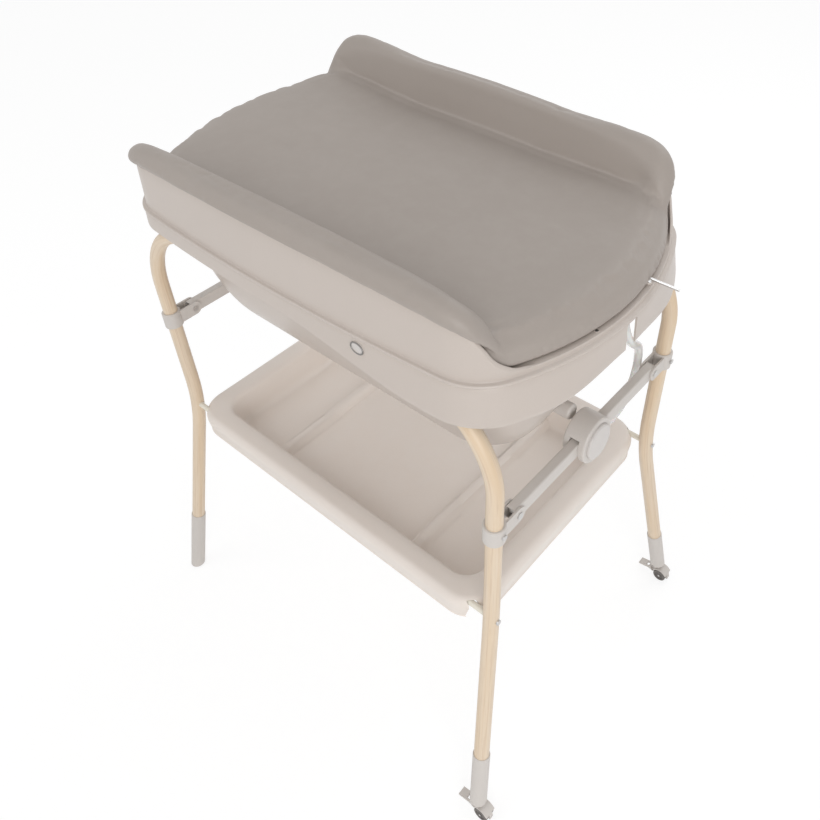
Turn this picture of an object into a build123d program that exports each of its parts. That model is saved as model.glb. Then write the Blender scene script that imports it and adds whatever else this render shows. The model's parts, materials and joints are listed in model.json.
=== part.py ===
from build123d import *
import math
import os

os.makedirs("parts", exist_ok=True)

# The origin is on the floor under the middle of the stand. X runs along the bathtub,
# with its drain at +X, and -Y is the front.

# Shared fits and allowances
overrun = 2.0
seat_gap = 0.3
running_fit = 0.05
screw_fit = 0.1

# Main sizes, which most of the others follow
rim_half_length = 428.0
rim_half_width = 259.0
top_bar_height = 858.0

# Plan of the bathtub's rim: bulged sides and ends joined by round corners
end_bulge = 75.0
side_bulge = 15.0
rim_corner = 90.0

# Bathtub
rim_over_bar = 28.0
rim_top = top_bar_height + rim_over_bar
skirt_depth = 29.0
skirt_drain_depth = 50.0
skirt_slope_inset = 138.0
tub_wall = 3.0
basin_top_end_inset = 43.0
basin_top_side_inset = 52.0
basin_floor_end_inset = 146.0
basin_floor_side_inset = 147.0
basin_top_half_length = rim_half_length - basin_top_end_inset
basin_top_half_width = rim_half_width - basin_top_side_inset
basin_floor_half_length = rim_half_length - basin_floor_end_inset
basin_floor_half_width = rim_half_width - basin_floor_side_inset
basin_depth = 252.0
basin_top_corner = 120.0
basin_floor_corner = 60.0
# Rows of depth and of the way from the top plan to the floor plan
basin_profile_shares = [(0.0, 0.0), (0.3, 0.13), (0.66, 0.38), (0.9, 0.68), (1.0, 1.0)]
notch_width = 24.0
badge_width = 24.0
badge_height = 19.0
badge_thickness = 2.0
badge_x = 171.0

# Changer top
shell_inset = 4.0
shell_wall = 3.5
shell_wall_rise = 101.0
deck_thickness = 4.0
deck_rise = 13.0
shell_wall_top = rim_top + shell_wall_rise
deck_top = rim_top + deck_rise
bead_height = 5.0
bead_proud = 1.5
bead_round = 2.0
swoop_start_inset = 268.0
swoop_end_inset = 32.0
swoop_start = rim_half_length - swoop_start_inset
swoop_end = rim_half_length - swoop_end_inset
# Rows along the swoop: share of its length, share of its drop
swoop_shares = [
    (0, 0), (0.41, 0.12), (0.57, 0.145), (0.70, 0.195), (0.79, 0.365),
    (0.825, 0.535), (0.85, 0.70), (0.885, 0.85), (0.92, 0.96), (1, 1),
]

# Changing pad
pad_gap = 0.5
pad_end_inset = 23.0
pad_edge_rise = 24.0
pad_shoulder_rise = 35.0
pad_crease_rise = 39.0
pad_crown_rise = 45.0
pad_half_length = rim_half_length - pad_end_inset
pad_edge_top = deck_top + pad_edge_rise
pad_shoulder_top = deck_top + pad_shoulder_rise
pad_crease_top = deck_top + pad_crease_rise
pad_crown_top = deck_top + pad_crown_rise
pad_end_round = 24.0
bolster_foot_inset = 47.0
bolster_inner_inset = 33.0
bolster_side_rise = 102.0
bolster_arch_rise = 128.0
bolster_rise = 125.0
bolster_foot_y = rim_half_width - bolster_foot_inset
bolster_inner_y = rim_half_width - bolster_inner_inset
bolster_side_top = deck_top + bolster_side_rise
bolster_arch_top = deck_top + bolster_arch_rise
bolster_top = deck_top + bolster_rise
bolster_sag = 15.0
bolster_end_lift = 2.5
bolster_full_inset = 128.0
bolster_end_inset = 70.0
bolster_full_half = rim_half_length - bolster_full_inset
bolster_half_length = rim_half_length - bolster_end_inset
bolster_end_reach_share = 0.68
bolster_end_drop_share = 0.24

# Hinges at the back of the changer
hinge_inset = 198.0
hinge_x = rim_half_length - hinge_inset
hinge_barrel_radius = 6.0
hinge_pin_radius = 2.5
hinge_knuckle = 18.0
hinge_width = 46.0
hinge_axis_back = 8.5
hinge_plate = 4.0
hinge_gap = 1.0
hinge_plate_drop = 24.0
hinge_leaf_rise = 36.0

# Folding peg on the changer's end
peg_radius = 2.2
peg_reach = 46.0
peg_inset = 16.0
peg_x = rim_half_length - peg_inset
peg_y = 64.0
peg_bend = 4.0
peg_boss_radius = 4.2
peg_boss_height = 3.0
peg_collar_radius = 3.8
peg_collar_height = 2.0
peg_rise = 6.0

# Stand: the centreline of one leg, and the tube
foot_inset = 40.0
foot_outset = 41.0
knee_inset = 68.5
knee_side_inset = 39.5
shoulder_inset = 46.0
shoulder_side_inset = 29.5
foot_x = rim_half_length - foot_inset
foot_y = rim_half_width + foot_outset
knee_x = rim_half_length - knee_inset
knee_y = rim_half_width - knee_side_inset
knee_height = 430.0
shoulder_x = rim_half_length - shoulder_inset
shoulder_y = rim_half_width - shoulder_side_inset
tube_radius = 12.5
tube_wall = 1.5
knee_bend = 500.0
shoulder_bend = 145.0
tube_end_height = 46.0
shoulder_reach = 172.0
spigot_length = 17.0

# Tie rods between the knees
rod_radius = 5.0
rod_hole_depth = 22.0
screw_radius = 2.5
screw_head_radius = 4.5
screw_head_height = 2.6

# Boots
boot_radius = 14.2
boot_top_height = 142.0
boot_lift = 3.0
boot_round = 1.0
caster_boot_height = 38.0
glide_radius = 11.0
glide_height = 12.0

# Casters
wheel_radius = 13.0
wheel_width = 6.5
wheel_side_gap = 0.5
caster_web = 7.0
caster_trail = 11.0
caster_boss = 8.0
caster_boss_height = 8.0
caster_hood_gap = 1.5
caster_hood_wall = 2.2
caster_stem_radius = 4.0
caster_stem_length = 16.0
stem_hole_radius = 4.05
axle_radius = 2.0
wheel_disc_radius = 8.5
wheel_hub_radius = 3.6
tread_round = 1.6
wheel_dish = 1.2
brake_length = 25.0
brake_width = 15.0
brake_thickness = 3.2
brake_pin_radius = 1.5
brake_root_radius = 3.2
brake_pivot_back = 12.5
brake_pivot_height = 17.0
brake_slope = 12.0
brake_slot_gap = 0.3
brake_nose = 9.0
brake_nose_drop = 32.0
brake_nose_thickness = 3.0
hood_cut = 8.0
web_drop = 5.0

# Braces between the front and back legs
brace_drop = 224.0
brace_height = top_bar_height - brace_drop
arm_width = 16.0
arm_height = 24.0
arm_wall = 1.6
arm_corner = 2.4
pivot_reach = 42.0
collar_wall = 4.0
collar_height = 30.0
collar_bevel = 1.5
cheek_thickness = 3.2
cheek_height = 26.0
cheek_gap = 0.3
pin_radius = 3.0
pin_head_radius = 5.5
pin_head = 1.8

# Hub in the middle of each brace
hub_radius = 38.0
hub_half_thickness = 19.0
hub_edge_round = 3.0
hub_bridge_wall = 9.0
hub_bridge_start = 28.0
hub_bridge_end = 152.0
hub_arm_start = 23.0
hub_solid_reach = 46.0
hub_mouth_radius = 29.5
hub_recess_radius = 32.0
hub_lip = 2.0
hub_recess_depth = 8.4
hub_slot_gap = 0.3
hub_pin_radius = 5.0
hub_pin_head_radius = 9.0
hub_pin_head = 1.6
button_flange_radius = 31.5
button_flange = 1.5
button_cap_radius = 29.2
button_proud = 5.0
button_round = 3.5

# Storage tray
tray_end_gap = 12.5
tray_side_lap = 24.5
tray_half_length = knee_x - tray_end_gap
tray_half_width = knee_y + tray_side_lap
tray_corner = 58.0
tray_rim_depth = 42.0
tray_rim_width = 45.0
tray_rim_round = 16.0
tray_inner_corner = 36.0
tray_wall = 3.0
tray_floor_depth = 56.0
tray_draft = 8.0
tray_floor_draft = 14.0
tray_rib_x = 166.0
tray_rib_width = 32.0
tray_rib_crest = 12.0
tray_rib_height = 9.0
tray_slot_gap = 1.0
tray_slot_flare = 8.0

# Saddles under the rim, which straddle the top bars
saddle_inset = 238.0
saddle_x = rim_half_length - saddle_inset
saddle_length = 44.0
saddle_wall = 2.0
saddle_straddle = 8.0

# Drain, hose and its parking clip
drain_drop = 222.0
drain_height = rim_top - drain_drop
drain_hole_radius = 9.0
spigot_boss_radius = 13.0
spigot_end_inset = 84.0
spigot_end_x = rim_half_length - spigot_end_inset
spigot_cap_round = 4.0
barb_radius = 5.4
barb_bore = 3.6
barb_reach = 11.0
elbow_drop = 14.1
bezel_radius = 15.0
bezel_bore = 7.0
bezel_thickness = 16.0
plug_radius = 6.9
plug_depth = 6.0
plug_cap_radius = 12.0
plug_cap = 3.0
plug_ring_radius = 7.0
plug_ring_wire = 1.3
hose_radius = 7.0
hose_wall = 1.3
clip_length = 10.0
clip_wall = 2.2
end_plug_length = 9.0
end_plug_head = 3.0

# Hose route from the spigot's end, round a loop below the brace and up to its clip: how far
# each point lies in from the rim's end, behind the middle and below the rim
hose_rows = [
    (92.5, 8.1, 233.6),
    (88.5, 33.0, 269.0),
    (87.0, 68.0, 310.0),
    (87.0, 113.0, 337.0),
    (87.0, 164.0, 326.0),
    (87.0, 195.0, 284.0),
    (83.0, 191.0, 233.0),
    (70.0, 160.0, 189.0),
    (55.0, 112.0, 148.0),
    (44.0, 72.0, 102.0),
    (32.0, 38.0, 52.0),
    (30.0, 26.0, 18.0),
]
hose_bend_share = 0.45


# Helpers for plans and places


def rim_plan(inset):
    """Return the rim's plan, drawn in by inset all round."""
    length = rim_half_length - inset
    width = rim_half_width - inset
    corner_x = length - end_bulge
    corner_y = width - side_bulge
    with BuildSketch(Plane.XY, mode=Mode.PRIVATE) as plan:
        with BuildLine():
            ThreePointArc((-corner_x, -corner_y), (0, -width), (corner_x, -corner_y))
            ThreePointArc((corner_x, -corner_y), (length, 0), (corner_x, corner_y))
            ThreePointArc((corner_x, corner_y), (0, width), (-corner_x, corner_y))
            ThreePointArc((-corner_x, corner_y), (-length, 0), (-corner_x, -corner_y))
        make_face()
        fillet(plan.vertices(), rim_corner - inset)
    return plan.sketch


def rim_side_y(x):
    """Return how far the rim's long side lies from the middle at x."""
    return rim_half_width - side_bulge * (x / (rim_half_length - end_bulge)) ** 2


def between(start, end, share):
    """Return the value that lies share of the way from start to end."""
    return start + (end - start) * share


def sided(piece, side_x, side_y):
    """Return a back right-hand piece, mirrored to the side asked for."""
    if side_x < 0:
        piece = piece.mirror(Plane.YZ)
    if side_y < 0:
        piece = piece.mirror(Plane.XZ)
    return piece


def finish(piece, name):
    """Name a finished piece and write it."""
    piece.label = name
    export_step(piece, f"parts/{name}.step")


end_names = {-1: "left", 1: "right"}
face_names = {-1: "front", 1: "back"}

# The axis of the back right-hand leg
foot = Vector(foot_x, foot_y, 0)
knee = Vector(knee_x, knee_y, knee_height)
shoulder = Vector(shoulder_x, shoulder_y, top_bar_height)
lower_axis = (knee - foot).normalized()
upper_axis = (shoulder - knee).normalized()


def lower_leg_at(height):
    """Return the point of the lower leg's axis at a height."""
    return foot + (knee - foot) * (height / knee_height)


def upper_leg_at(height):
    """Return the point of the upper leg's axis at a height."""
    return knee + (shoulder - knee) * ((height - knee_height) / (top_bar_height - knee_height))


# Heights and places worked out from the sizes above
skirt_bottom = rim_top - skirt_depth
shell_base = rim_top + seat_gap
collar_centre = upper_leg_at(brace_height)
brace_x = collar_centre.X
pivot_y = collar_centre.Y - pivot_reach
half_turn = math.acos(lower_axis.dot(upper_axis)) / 2
knee_middle = knee + (upper_axis - lower_axis).normalized() * (
    knee_bend * (1 / math.cos(half_turn) - 1)
)


# Bathtub: rim with a turned-down skirt, and a tapering basin


def basin_solid(shrink):
    """Return the basin's body, drawn in by shrink at its sides and floor."""
    with BuildPart() as basin:
        for depth_share, plan_share in basin_profile_shares:
            half_length = between(basin_top_half_length, basin_floor_half_length, plan_share)
            half_width = between(basin_top_half_width, basin_floor_half_width, plan_share)
            corner = between(basin_top_corner, basin_floor_corner, plan_share)
            with BuildSketch(Plane.XY.offset(rim_top - (basin_depth - shrink) * depth_share)):
                RectangleRounded(
                    2 * (half_length - shrink), 2 * (half_width - shrink), corner - shrink
                )
        loft()
    return basin.part


basin_outside = basin_solid(0)
basin_inside = basin_solid(tub_wall)

# Skirt round the rim, whose lower edge falls towards the drain end
skirt_low = rim_top - skirt_drain_depth
with BuildPart() as skirt:
    with BuildSketch(Plane.XY.offset(skirt_low)):
        add(rim_plan(0))
        add(rim_plan(tub_wall), mode=Mode.SUBTRACT)
    extrude(amount=skirt_drain_depth)
    with BuildSketch(Plane.XZ.offset(-rim_half_width - overrun)):
        with BuildLine():
            falling = Spline(
                (0, skirt_bottom),
                (rim_half_length - skirt_slope_inset, skirt_low),
                tangents=((1, 0), (1, 0)),
            )
            Polyline(
                falling @ 1,
                (rim_half_length - skirt_slope_inset, skirt_low - overrun),
                (-rim_half_length - overrun, skirt_low - overrun),
                (-rim_half_length - overrun, skirt_bottom),
                falling @ 0,
            )
        make_face()
    extrude(amount=2 * (rim_half_width + overrun), mode=Mode.SUBTRACT)

with BuildPart() as bathtub:
    add(basin_outside)
    add(skirt.part)
    with BuildSketch(Plane.XY.offset(rim_top - tub_wall)):
        add(rim_plan(0))
    extrude(amount=tub_wall)
    add(basin_inside, mode=Mode.SUBTRACT)
    # Finger notch in the skirt at the drain end
    with BuildSketch(Plane.XY.offset(skirt_low - overrun)):
        with Locations((rim_half_length, 0)):
            Rectangle(2 * (tub_wall + overrun), notch_width)
    extrude(amount=skirt_drain_depth - tub_wall + overrun, mode=Mode.SUBTRACT)
    # Drain hole through the end wall
    with BuildSketch(Plane.YZ.offset(basin_floor_half_length)):
        with Locations((0, drain_height)):
            Circle(drain_hole_radius)
    extrude(amount=basin_top_half_length - basin_floor_half_length, mode=Mode.SUBTRACT)
finish(bathtub.part, "bathtub")

# Bare oval badge on the front skirt
with BuildPart() as front_badge:
    with BuildSketch(Plane.XZ.offset(rim_side_y(badge_x) - tub_wall / 2)):
        with Locations((badge_x, rim_top - skirt_depth / 2)):
            Ellipse(badge_width / 2, badge_height / 2)
    extrude(amount=tub_wall / 2 + badge_thickness)
    add(bathtub.part, mode=Mode.SUBTRACT)
finish(front_badge.part, "front_badge")

# Saddles under the rim, which straddle the two top bars and keep the tub from sliding
saddle_seat = top_bar_height + tube_radius + seat_gap
saddle_bottom = saddle_seat - saddle_straddle
with BuildPart() as rim_saddles:
    with BuildSketch(Plane.XY.offset(saddle_bottom)):
        with GridLocations(2 * saddle_x, 2 * shoulder_y, 2, 2):
            Rectangle(saddle_length, 2 * (tube_radius + seat_gap + saddle_wall))
    extrude(amount=rim_top - tub_wall - saddle_bottom)
    with BuildSketch(Plane.YZ.offset(-saddle_x - saddle_length)):
        with GridLocations(2 * shoulder_y, 0, 2, 1):
            with Locations((0, top_bar_height)):
                Circle(tube_radius + seat_gap)
    extrude(amount=2 * (saddle_x + saddle_length), mode=Mode.SUBTRACT)
finish(rim_saddles.part, "rim_saddles")

# Drain: a moulded elbow outside the basin's end wall, with a barb for the hose
hose_route = [
    Vector(rim_half_length - inset, back, rim_top - drop) for inset, back, drop in hose_rows
]
hose_exit = (hose_route[1] - hose_route[0]).normalized()
hose_end = (hose_route[-1] - hose_route[-2]).normalized()
elbow = hose_route[0] - hose_exit * elbow_drop
with BuildPart() as drain_spigot:
    with BuildSketch(Plane.YZ.offset(basin_floor_half_length)):
        with Locations((0, drain_height)):
            Circle(spigot_boss_radius)
    extrude(amount=spigot_end_x - basin_floor_half_length)
    fillet(drain_spigot.faces().sort_by(Axis.X)[-1].edges(), spigot_cap_round)
    with BuildSketch(Plane(elbow, z_dir=hose_exit)):
        Circle(barb_radius)
    extrude(amount=elbow_drop + barb_reach)
    add(basin_outside, mode=Mode.SUBTRACT)
    with BuildSketch(Plane(elbow, z_dir=hose_exit)):
        Circle(barb_bore)
    extrude(amount=2 * (elbow_drop + barb_reach), mode=Mode.SUBTRACT)
    with BuildSketch(Plane.YZ.offset(basin_floor_half_length)):
        with Locations((0, drain_height)):
            Circle(barb_bore)
    extrude(amount=elbow.X - basin_floor_half_length, mode=Mode.SUBTRACT)
finish(drain_spigot.part, "drain_spigot")

# Bezel round the drain hole inside the basin, with the plug in it
bezel_face_x = basin_floor_half_length + bezel_thickness
with BuildPart() as drain_bezel:
    with BuildSketch(Plane.YZ.offset(bezel_face_x)):
        with Locations((0, drain_height)):
            Circle(bezel_radius)
    extrude(amount=2 * bezel_thickness)
    add(basin_inside, mode=Mode.INTERSECT)
    with BuildSketch(Plane.YZ.offset(bezel_face_x)):
        with Locations((0, drain_height)):
            Circle(bezel_bore)
    extrude(amount=2 * bezel_thickness, mode=Mode.SUBTRACT)
finish(drain_bezel.part, "drain_bezel")

with BuildPart() as drain_plug:
    with BuildSketch(Plane.YZ.offset(bezel_face_x + plug_depth)):
        with Locations((0, drain_height)):
            Circle(plug_radius)
    extrude(amount=-plug_depth)
    with BuildSketch(Plane.YZ.offset(bezel_face_x)):
        with Locations((0, drain_height)):
            Circle(plug_cap_radius)
    extrude(amount=-plug_cap)
    with BuildSketch(Plane.XZ):
        with Locations((bezel_face_x - plug_cap, drain_height)):
            Circle(plug_ring_radius)
            Circle(plug_ring_radius - 2 * plug_ring_wire, mode=Mode.SUBTRACT)
            with Locations((plug_ring_radius, 0)):
                Rectangle(2 * plug_ring_radius, 2 * plug_ring_radius, mode=Mode.SUBTRACT)
    extrude(amount=plug_ring_wire, both=True)
finish(drain_plug.part, "drain_plug")

# Drain hose: straight runs joined by arcs, round a loop and up behind the skirt
hose_radii = []
for before, corner, after in zip(hose_route, hose_route[1:], hose_route[2:]):
    run_in = corner - before
    run_out = after - corner
    turn = math.acos(run_in.normalized().dot(run_out.normalized()))
    hose_radii.append(hose_bend_share * min(run_in.length, run_out.length) / math.tan(turn / 2))
with BuildPart() as drain_hose:
    with BuildLine() as hose_line:
        FilletPolyline(*hose_route, radius=hose_radii)
    with BuildSketch(Plane(hose_route[0], z_dir=hose_exit)):
        Circle(hose_radius)
        Circle(hose_radius - hose_wall, mode=Mode.SUBTRACT)
    sweep(path=hose_line.wire())
finish(drain_hose.part, "drain_hose")
hose_section = math.pi * (hose_radius**2 - (hose_radius - hose_wall) ** 2)
print("hose radii", [round(radius) for radius in hose_radii])
print("hose length", round(hose_line.wire().length), "volume share",
      round(drain_hose.part.volume / (hose_section * hose_line.wire().length), 4))

# Clip under the rim that parks the hose's end
clip_base = hose_route[-1] - hose_end * (clip_length + end_plug_length)
with BuildPart() as hose_clip:
    with BuildSketch(Plane(clip_base, z_dir=hose_end)):
        Circle(hose_radius + clip_wall)
    extrude(amount=clip_length)
    with BuildSketch(Plane.XY.offset(clip_base.Z + clip_length / 2)):
        with Locations((clip_base.X + hose_radius + 1.5 * clip_wall, clip_base.Y + clip_wall)):
            Rectangle(2 * clip_wall, clip_length)
    extrude(until=Until.NEXT, target=bathtub.part)
    with BuildSketch(Plane(clip_base - hose_end * clip_length, z_dir=hose_end)):
        Circle(hose_radius)
    extrude(amount=3 * clip_length, mode=Mode.SUBTRACT)
finish(hose_clip.part, "hose_clip")

with BuildPart() as hose_end_plug:
    with BuildSketch(Plane(hose_route[-1], z_dir=hose_end)):
        Circle(hose_radius)
    extrude(amount=end_plug_head)
    with BuildSketch(Plane(hose_route[-1], z_dir=hose_end)):
        Circle(hose_radius - hose_wall - running_fit)
    extrude(amount=-end_plug_length)
finish(hose_end_plug.part, "hose_end_plug")

# Changer top: a shell over the rim, high along the front and back, with a rounded bead
with BuildPart() as bead:
    with BuildSketch(Plane.XY.offset(shell_base)):
        add(rim_plan(-bead_proud))
    extrude(amount=bead_height)
    fillet(bead.faces().sort_by(Axis.Z)[-1].edges(), bead_round)
    fillet(bead.faces().sort_by(Axis.Z)[0].edges(), bead_round)
    with BuildSketch(Plane.XY.offset(shell_base)):
        add(rim_plan(shell_inset + shell_wall / 2))
    extrude(amount=bead_height, mode=Mode.SUBTRACT)

with BuildPart() as changer_shell:
    with BuildSketch(Plane.XY.offset(shell_base)):
        add(rim_plan(shell_inset))
    extrude(amount=shell_wall_top - shell_base)
    with BuildSketch(Plane.XY.offset(deck_top)):
        add(rim_plan(shell_inset + shell_wall))
    extrude(amount=shell_wall_top, mode=Mode.SUBTRACT)
    with BuildSketch(Plane.XZ.offset(-rim_half_width)):
        for side_x in (-1, 1):
            with BuildLine():
                swoop = Spline(
                    [
                        (
                            side_x * between(swoop_start, swoop_end, run_share),
                            between(shell_wall_top, deck_top, drop_share),
                        )
                        for run_share, drop_share in swoop_shares
                    ]
                )
                Polyline(
                    swoop @ 1,
                    (side_x * (rim_half_length + overrun), deck_top),
                    (side_x * (rim_half_length + overrun), shell_wall_top + overrun),
                    (side_x * swoop_start, shell_wall_top + overrun),
                    swoop @ 0,
                )
            make_face()
    extrude(amount=2 * rim_half_width, mode=Mode.SUBTRACT)
    with BuildSketch(Plane.XY.offset(shell_base)):
        add(rim_plan(shell_inset + shell_wall))
    extrude(amount=deck_top - deck_thickness - shell_base, mode=Mode.SUBTRACT)
    add(bead.part)
    # Boss on the deck's end for the folding peg
    with BuildSketch(Plane.XY.offset(deck_top)):
        with Locations((peg_x, peg_y)):
            Circle(peg_boss_radius)
    extrude(amount=peg_boss_height)
    with BuildSketch(Plane.XY.offset(deck_top - deck_thickness)):
        with Locations((peg_x, peg_y)):
            Circle(peg_radius + running_fit)
    extrude(amount=deck_thickness + peg_boss_height, mode=Mode.SUBTRACT)
finish(changer_shell.part, "changer_shell")

# Folding peg: a bent wire with a collar on the boss
peg_arm_height = deck_top + peg_boss_height + peg_rise
with BuildPart() as wire_peg:
    with BuildLine() as peg_line:
        FilletPolyline(
            (peg_x, peg_y, deck_top - deck_thickness),
            (peg_x, peg_y, peg_arm_height),
            (peg_x + peg_reach, peg_y, peg_arm_height),
            radius=peg_bend,
        )
    with BuildSketch(Plane.XY.offset(deck_top - deck_thickness)):
        with Locations((peg_x, peg_y)):
            Circle(peg_radius)
    sweep(path=peg_line.wire())
    with BuildSketch(Plane.XY.offset(deck_top + peg_boss_height)):
        with Locations((peg_x, peg_y)):
            Circle(peg_collar_radius)
    extrude(amount=peg_collar_height)
finish(wire_peg.part, "wire_peg")

# Changing pad: a crowned floor with a bolster along the front and the back
pad_base = deck_top + pad_gap
bolster_middle_y = (rim_half_width + bolster_inner_y) / 2
bolster_end_top = bolster_top - bolster_sag
pad_ridge_x = between(bolster_full_half, bolster_half_length, bolster_end_reach_share)
pad_ridge_top = between(bolster_end_top, pad_crown_top, bolster_end_drop_share)
with BuildPart() as changing_pad:
    with BuildSketch(Plane.YZ.offset(-pad_half_length)):
        with BuildLine():
            Line((-rim_half_width, pad_base), (rim_half_width, pad_base))
            ThreePointArc(
                (-bolster_foot_y, pad_crease_top),
                (0, pad_crown_top),
                (bolster_foot_y, pad_crease_top),
            )
            for side in (-1, 1):
                Line((side * rim_half_width, pad_base), (side * rim_half_width, bolster_side_top))
                ThreePointArc(
                    (side * rim_half_width, bolster_side_top),
                    (side * bolster_middle_y, bolster_arch_top),
                    (side * bolster_inner_y, bolster_side_top),
                )
                Line(
                    (side * bolster_inner_y, bolster_side_top),
                    (side * bolster_foot_y, pad_crease_top),
                )
        make_face()
    extrude(amount=2 * pad_half_length)
    with BuildSketch(Plane.XZ.offset(-rim_half_width)):
        with BuildLine():
            ThreePointArc(
                (-bolster_full_half, bolster_end_top),
                (0, bolster_top),
                (bolster_full_half, bolster_end_top),
            )
            for side in (-1, 1):
                ThreePointArc(
                    (side * bolster_full_half, bolster_end_top),
                    (side * pad_ridge_x, pad_ridge_top),
                    (side * bolster_half_length, pad_crown_top + bolster_end_lift),
                )
                Polyline(
                    (side * bolster_half_length, pad_crown_top + bolster_end_lift),
                    (side * (pad_half_length - pad_end_round), pad_shoulder_top),
                    (side * pad_half_length, pad_edge_top),
                    (side * pad_half_length, pad_base),
                )
            Line((-pad_half_length, pad_base), (pad_half_length, pad_base))
        make_face()
    extrude(amount=2 * rim_half_width, mode=Mode.INTERSECT)
    with BuildSketch(Plane.XY.offset(pad_base)):
        add(rim_plan(shell_inset + shell_wall + pad_gap))
    extrude(amount=bolster_top - pad_base, mode=Mode.INTERSECT)
finish(changing_pad.part, "changing_pad")

# Hinges along the back: a leaf on the changer and a plate on the skirt, on one pin
hinge_axis_y = rim_side_y(hinge_x - hinge_width / 2) + hinge_axis_back
hinge_axis_z = shell_base
hinge_side_y = rim_side_y(hinge_x)


def hinge_leaves(inset, side, length, knuckle_places, knuckle_length):
    """Return a right and a left leaf: above the axis for side 1, below it for side -1."""
    wall_y = hinge_side_y - inset
    lift = hinge_barrel_radius + hinge_gap
    with BuildPart() as leaves:
        with BuildSketch(Plane.YZ.offset(hinge_x - hinge_width / 2)):
            with Locations((wall_y, hinge_axis_z + side * (lift + length / 2))):
                Rectangle(2 * hinge_plate, length)
            with Locations(
                ((wall_y + hinge_axis_y) / 2, hinge_axis_z + side * (lift + hinge_plate / 2))
            ):
                Rectangle(hinge_axis_y - wall_y, hinge_plate)
        extrude(amount=hinge_width)
        for place in knuckle_places:
            with BuildSketch(Plane.YZ.offset(hinge_x + place)):
                with Locations((hinge_axis_y, hinge_axis_z)):
                    Circle(hinge_barrel_radius)
                with Locations(
                    (
                        hinge_axis_y - hinge_barrel_radius / 2,
                        hinge_axis_z + side * (lift + hinge_plate) / 2,
                    )
                ):
                    Rectangle(hinge_barrel_radius, lift + hinge_plate)
            extrude(amount=knuckle_length / 2, both=True)
        with BuildSketch(Plane.YZ.offset(hinge_x - hinge_width)):
            with Locations((hinge_axis_y, hinge_axis_z)):
                Circle(hinge_pin_radius + running_fit)
        extrude(amount=2 * hinge_width, mode=Mode.SUBTRACT)
        with BuildSketch(Plane.XY.offset(skirt_low)):
            add(rim_plan(inset))
        extrude(amount=shell_wall_top - skirt_low, mode=Mode.SUBTRACT)
        mirror(about=Plane.YZ)
    return leaves.part


outer_knuckle = (hinge_width - hinge_knuckle) / 2 - hinge_gap
outer_place = (hinge_width - outer_knuckle) / 2
finish(hinge_leaves(shell_inset, 1, hinge_leaf_rise, (0,), hinge_knuckle), "hinge_leaves")
finish(
    hinge_leaves(0, -1, hinge_plate_drop, (-outer_place, outer_place), outer_knuckle),
    "hinge_plates",
)

with BuildPart() as hinge_pins:
    with BuildSketch(Plane.YZ.offset(hinge_x - hinge_width / 2)):
        with Locations((hinge_axis_y, hinge_axis_z)):
            Circle(hinge_pin_radius)
    extrude(amount=hinge_width)
    mirror(about=Plane.YZ)
finish(hinge_pins.part, "hinge_pins")


# Stand: four bent legs, joined in pairs by a bar under the rim and a rod at the knees
leg_end_x = shoulder_x - shoulder_reach
with BuildPart() as leg:
    with BuildLine() as leg_line:
        FilletPolyline(
            lower_leg_at(tube_end_height),
            knee,
            shoulder,
            (leg_end_x, shoulder_y, top_bar_height),
            radius=[knee_bend, shoulder_bend],
        )
    with BuildSketch(Plane(lower_leg_at(tube_end_height), z_dir=lower_axis)):
        Circle(tube_radius)
        Circle(tube_radius - tube_wall, mode=Mode.SUBTRACT)
    sweep(path=leg_line.wire())
    with BuildSketch(Plane.YZ.offset(knee_middle.X)):
        with Locations((knee_middle.Y, knee_middle.Z)):
            Circle(rod_radius + running_fit)
    extrude(amount=-2 * tube_radius, mode=Mode.SUBTRACT)
    with BuildSketch(Plane.YZ.offset(brace_x)):
        with Locations((knee_middle.Y, knee_middle.Z), (collar_centre.Y, collar_centre.Z)):
            Circle(screw_radius + screw_fit)
    extrude(amount=2 * tube_radius, mode=Mode.SUBTRACT)

with BuildPart() as top_bar:
    with BuildSketch(Plane.YZ.offset(-leg_end_x + seat_gap / 2)):
        with Locations((shoulder_y, top_bar_height)):
            Circle(tube_radius)
    extrude(amount=2 * leg_end_x - seat_gap)
    with BuildSketch(Plane.YZ.offset(-leg_end_x - spigot_length)):
        with Locations((shoulder_y, top_bar_height)):
            Circle(tube_radius - tube_wall - running_fit)
    extrude(amount=2 * (leg_end_x + spigot_length))
    with BuildSketch(Plane.YZ.offset(-leg_end_x - spigot_length)):
        with Locations((shoulder_y, top_bar_height)):
            Circle(tube_radius - 2 * tube_wall)
    extrude(amount=2 * (leg_end_x + spigot_length), mode=Mode.SUBTRACT)

with BuildPart() as knee_rod:
    with BuildSketch(Plane.YZ.offset(-knee_middle.X)):
        with Locations((knee_middle.Y, knee_middle.Z)):
            Circle(rod_radius)
    extrude(amount=2 * knee_middle.X)
    for side_x in (-1, 1):
        with BuildSketch(Plane.YZ.offset(side_x * knee_middle.X)):
            with Locations((knee_middle.Y, knee_middle.Z)):
                Circle(screw_radius)
        extrude(amount=-side_x * rod_hole_depth, mode=Mode.SUBTRACT)

# Screws that hold the rod's ends and the collars, with their heads on the legs' outer sides
knee_head_x = knee_middle.X + tube_radius + screw_fit
collar_head_x = brace_x + tube_radius + collar_wall + seat_gap
with BuildPart() as screws:
    for head_x, place, tip_x in (
        (knee_head_x, knee_middle, knee_middle.X - rod_hole_depth / 2),
        (collar_head_x, collar_centre, brace_x + tube_radius - 2 * tube_wall),
    ):
        with BuildSketch(Plane.YZ.offset(head_x)):
            with Locations((place.Y, place.Z)):
                Circle(screw_head_radius)
        extrude(amount=screw_head_height)
        with BuildSketch(Plane.YZ.offset(tip_x)):
            with Locations((place.Y, place.Z)):
                Circle(screw_radius)
        extrude(amount=head_x - tip_x)
    mirror(about=Plane.YZ)

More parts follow.
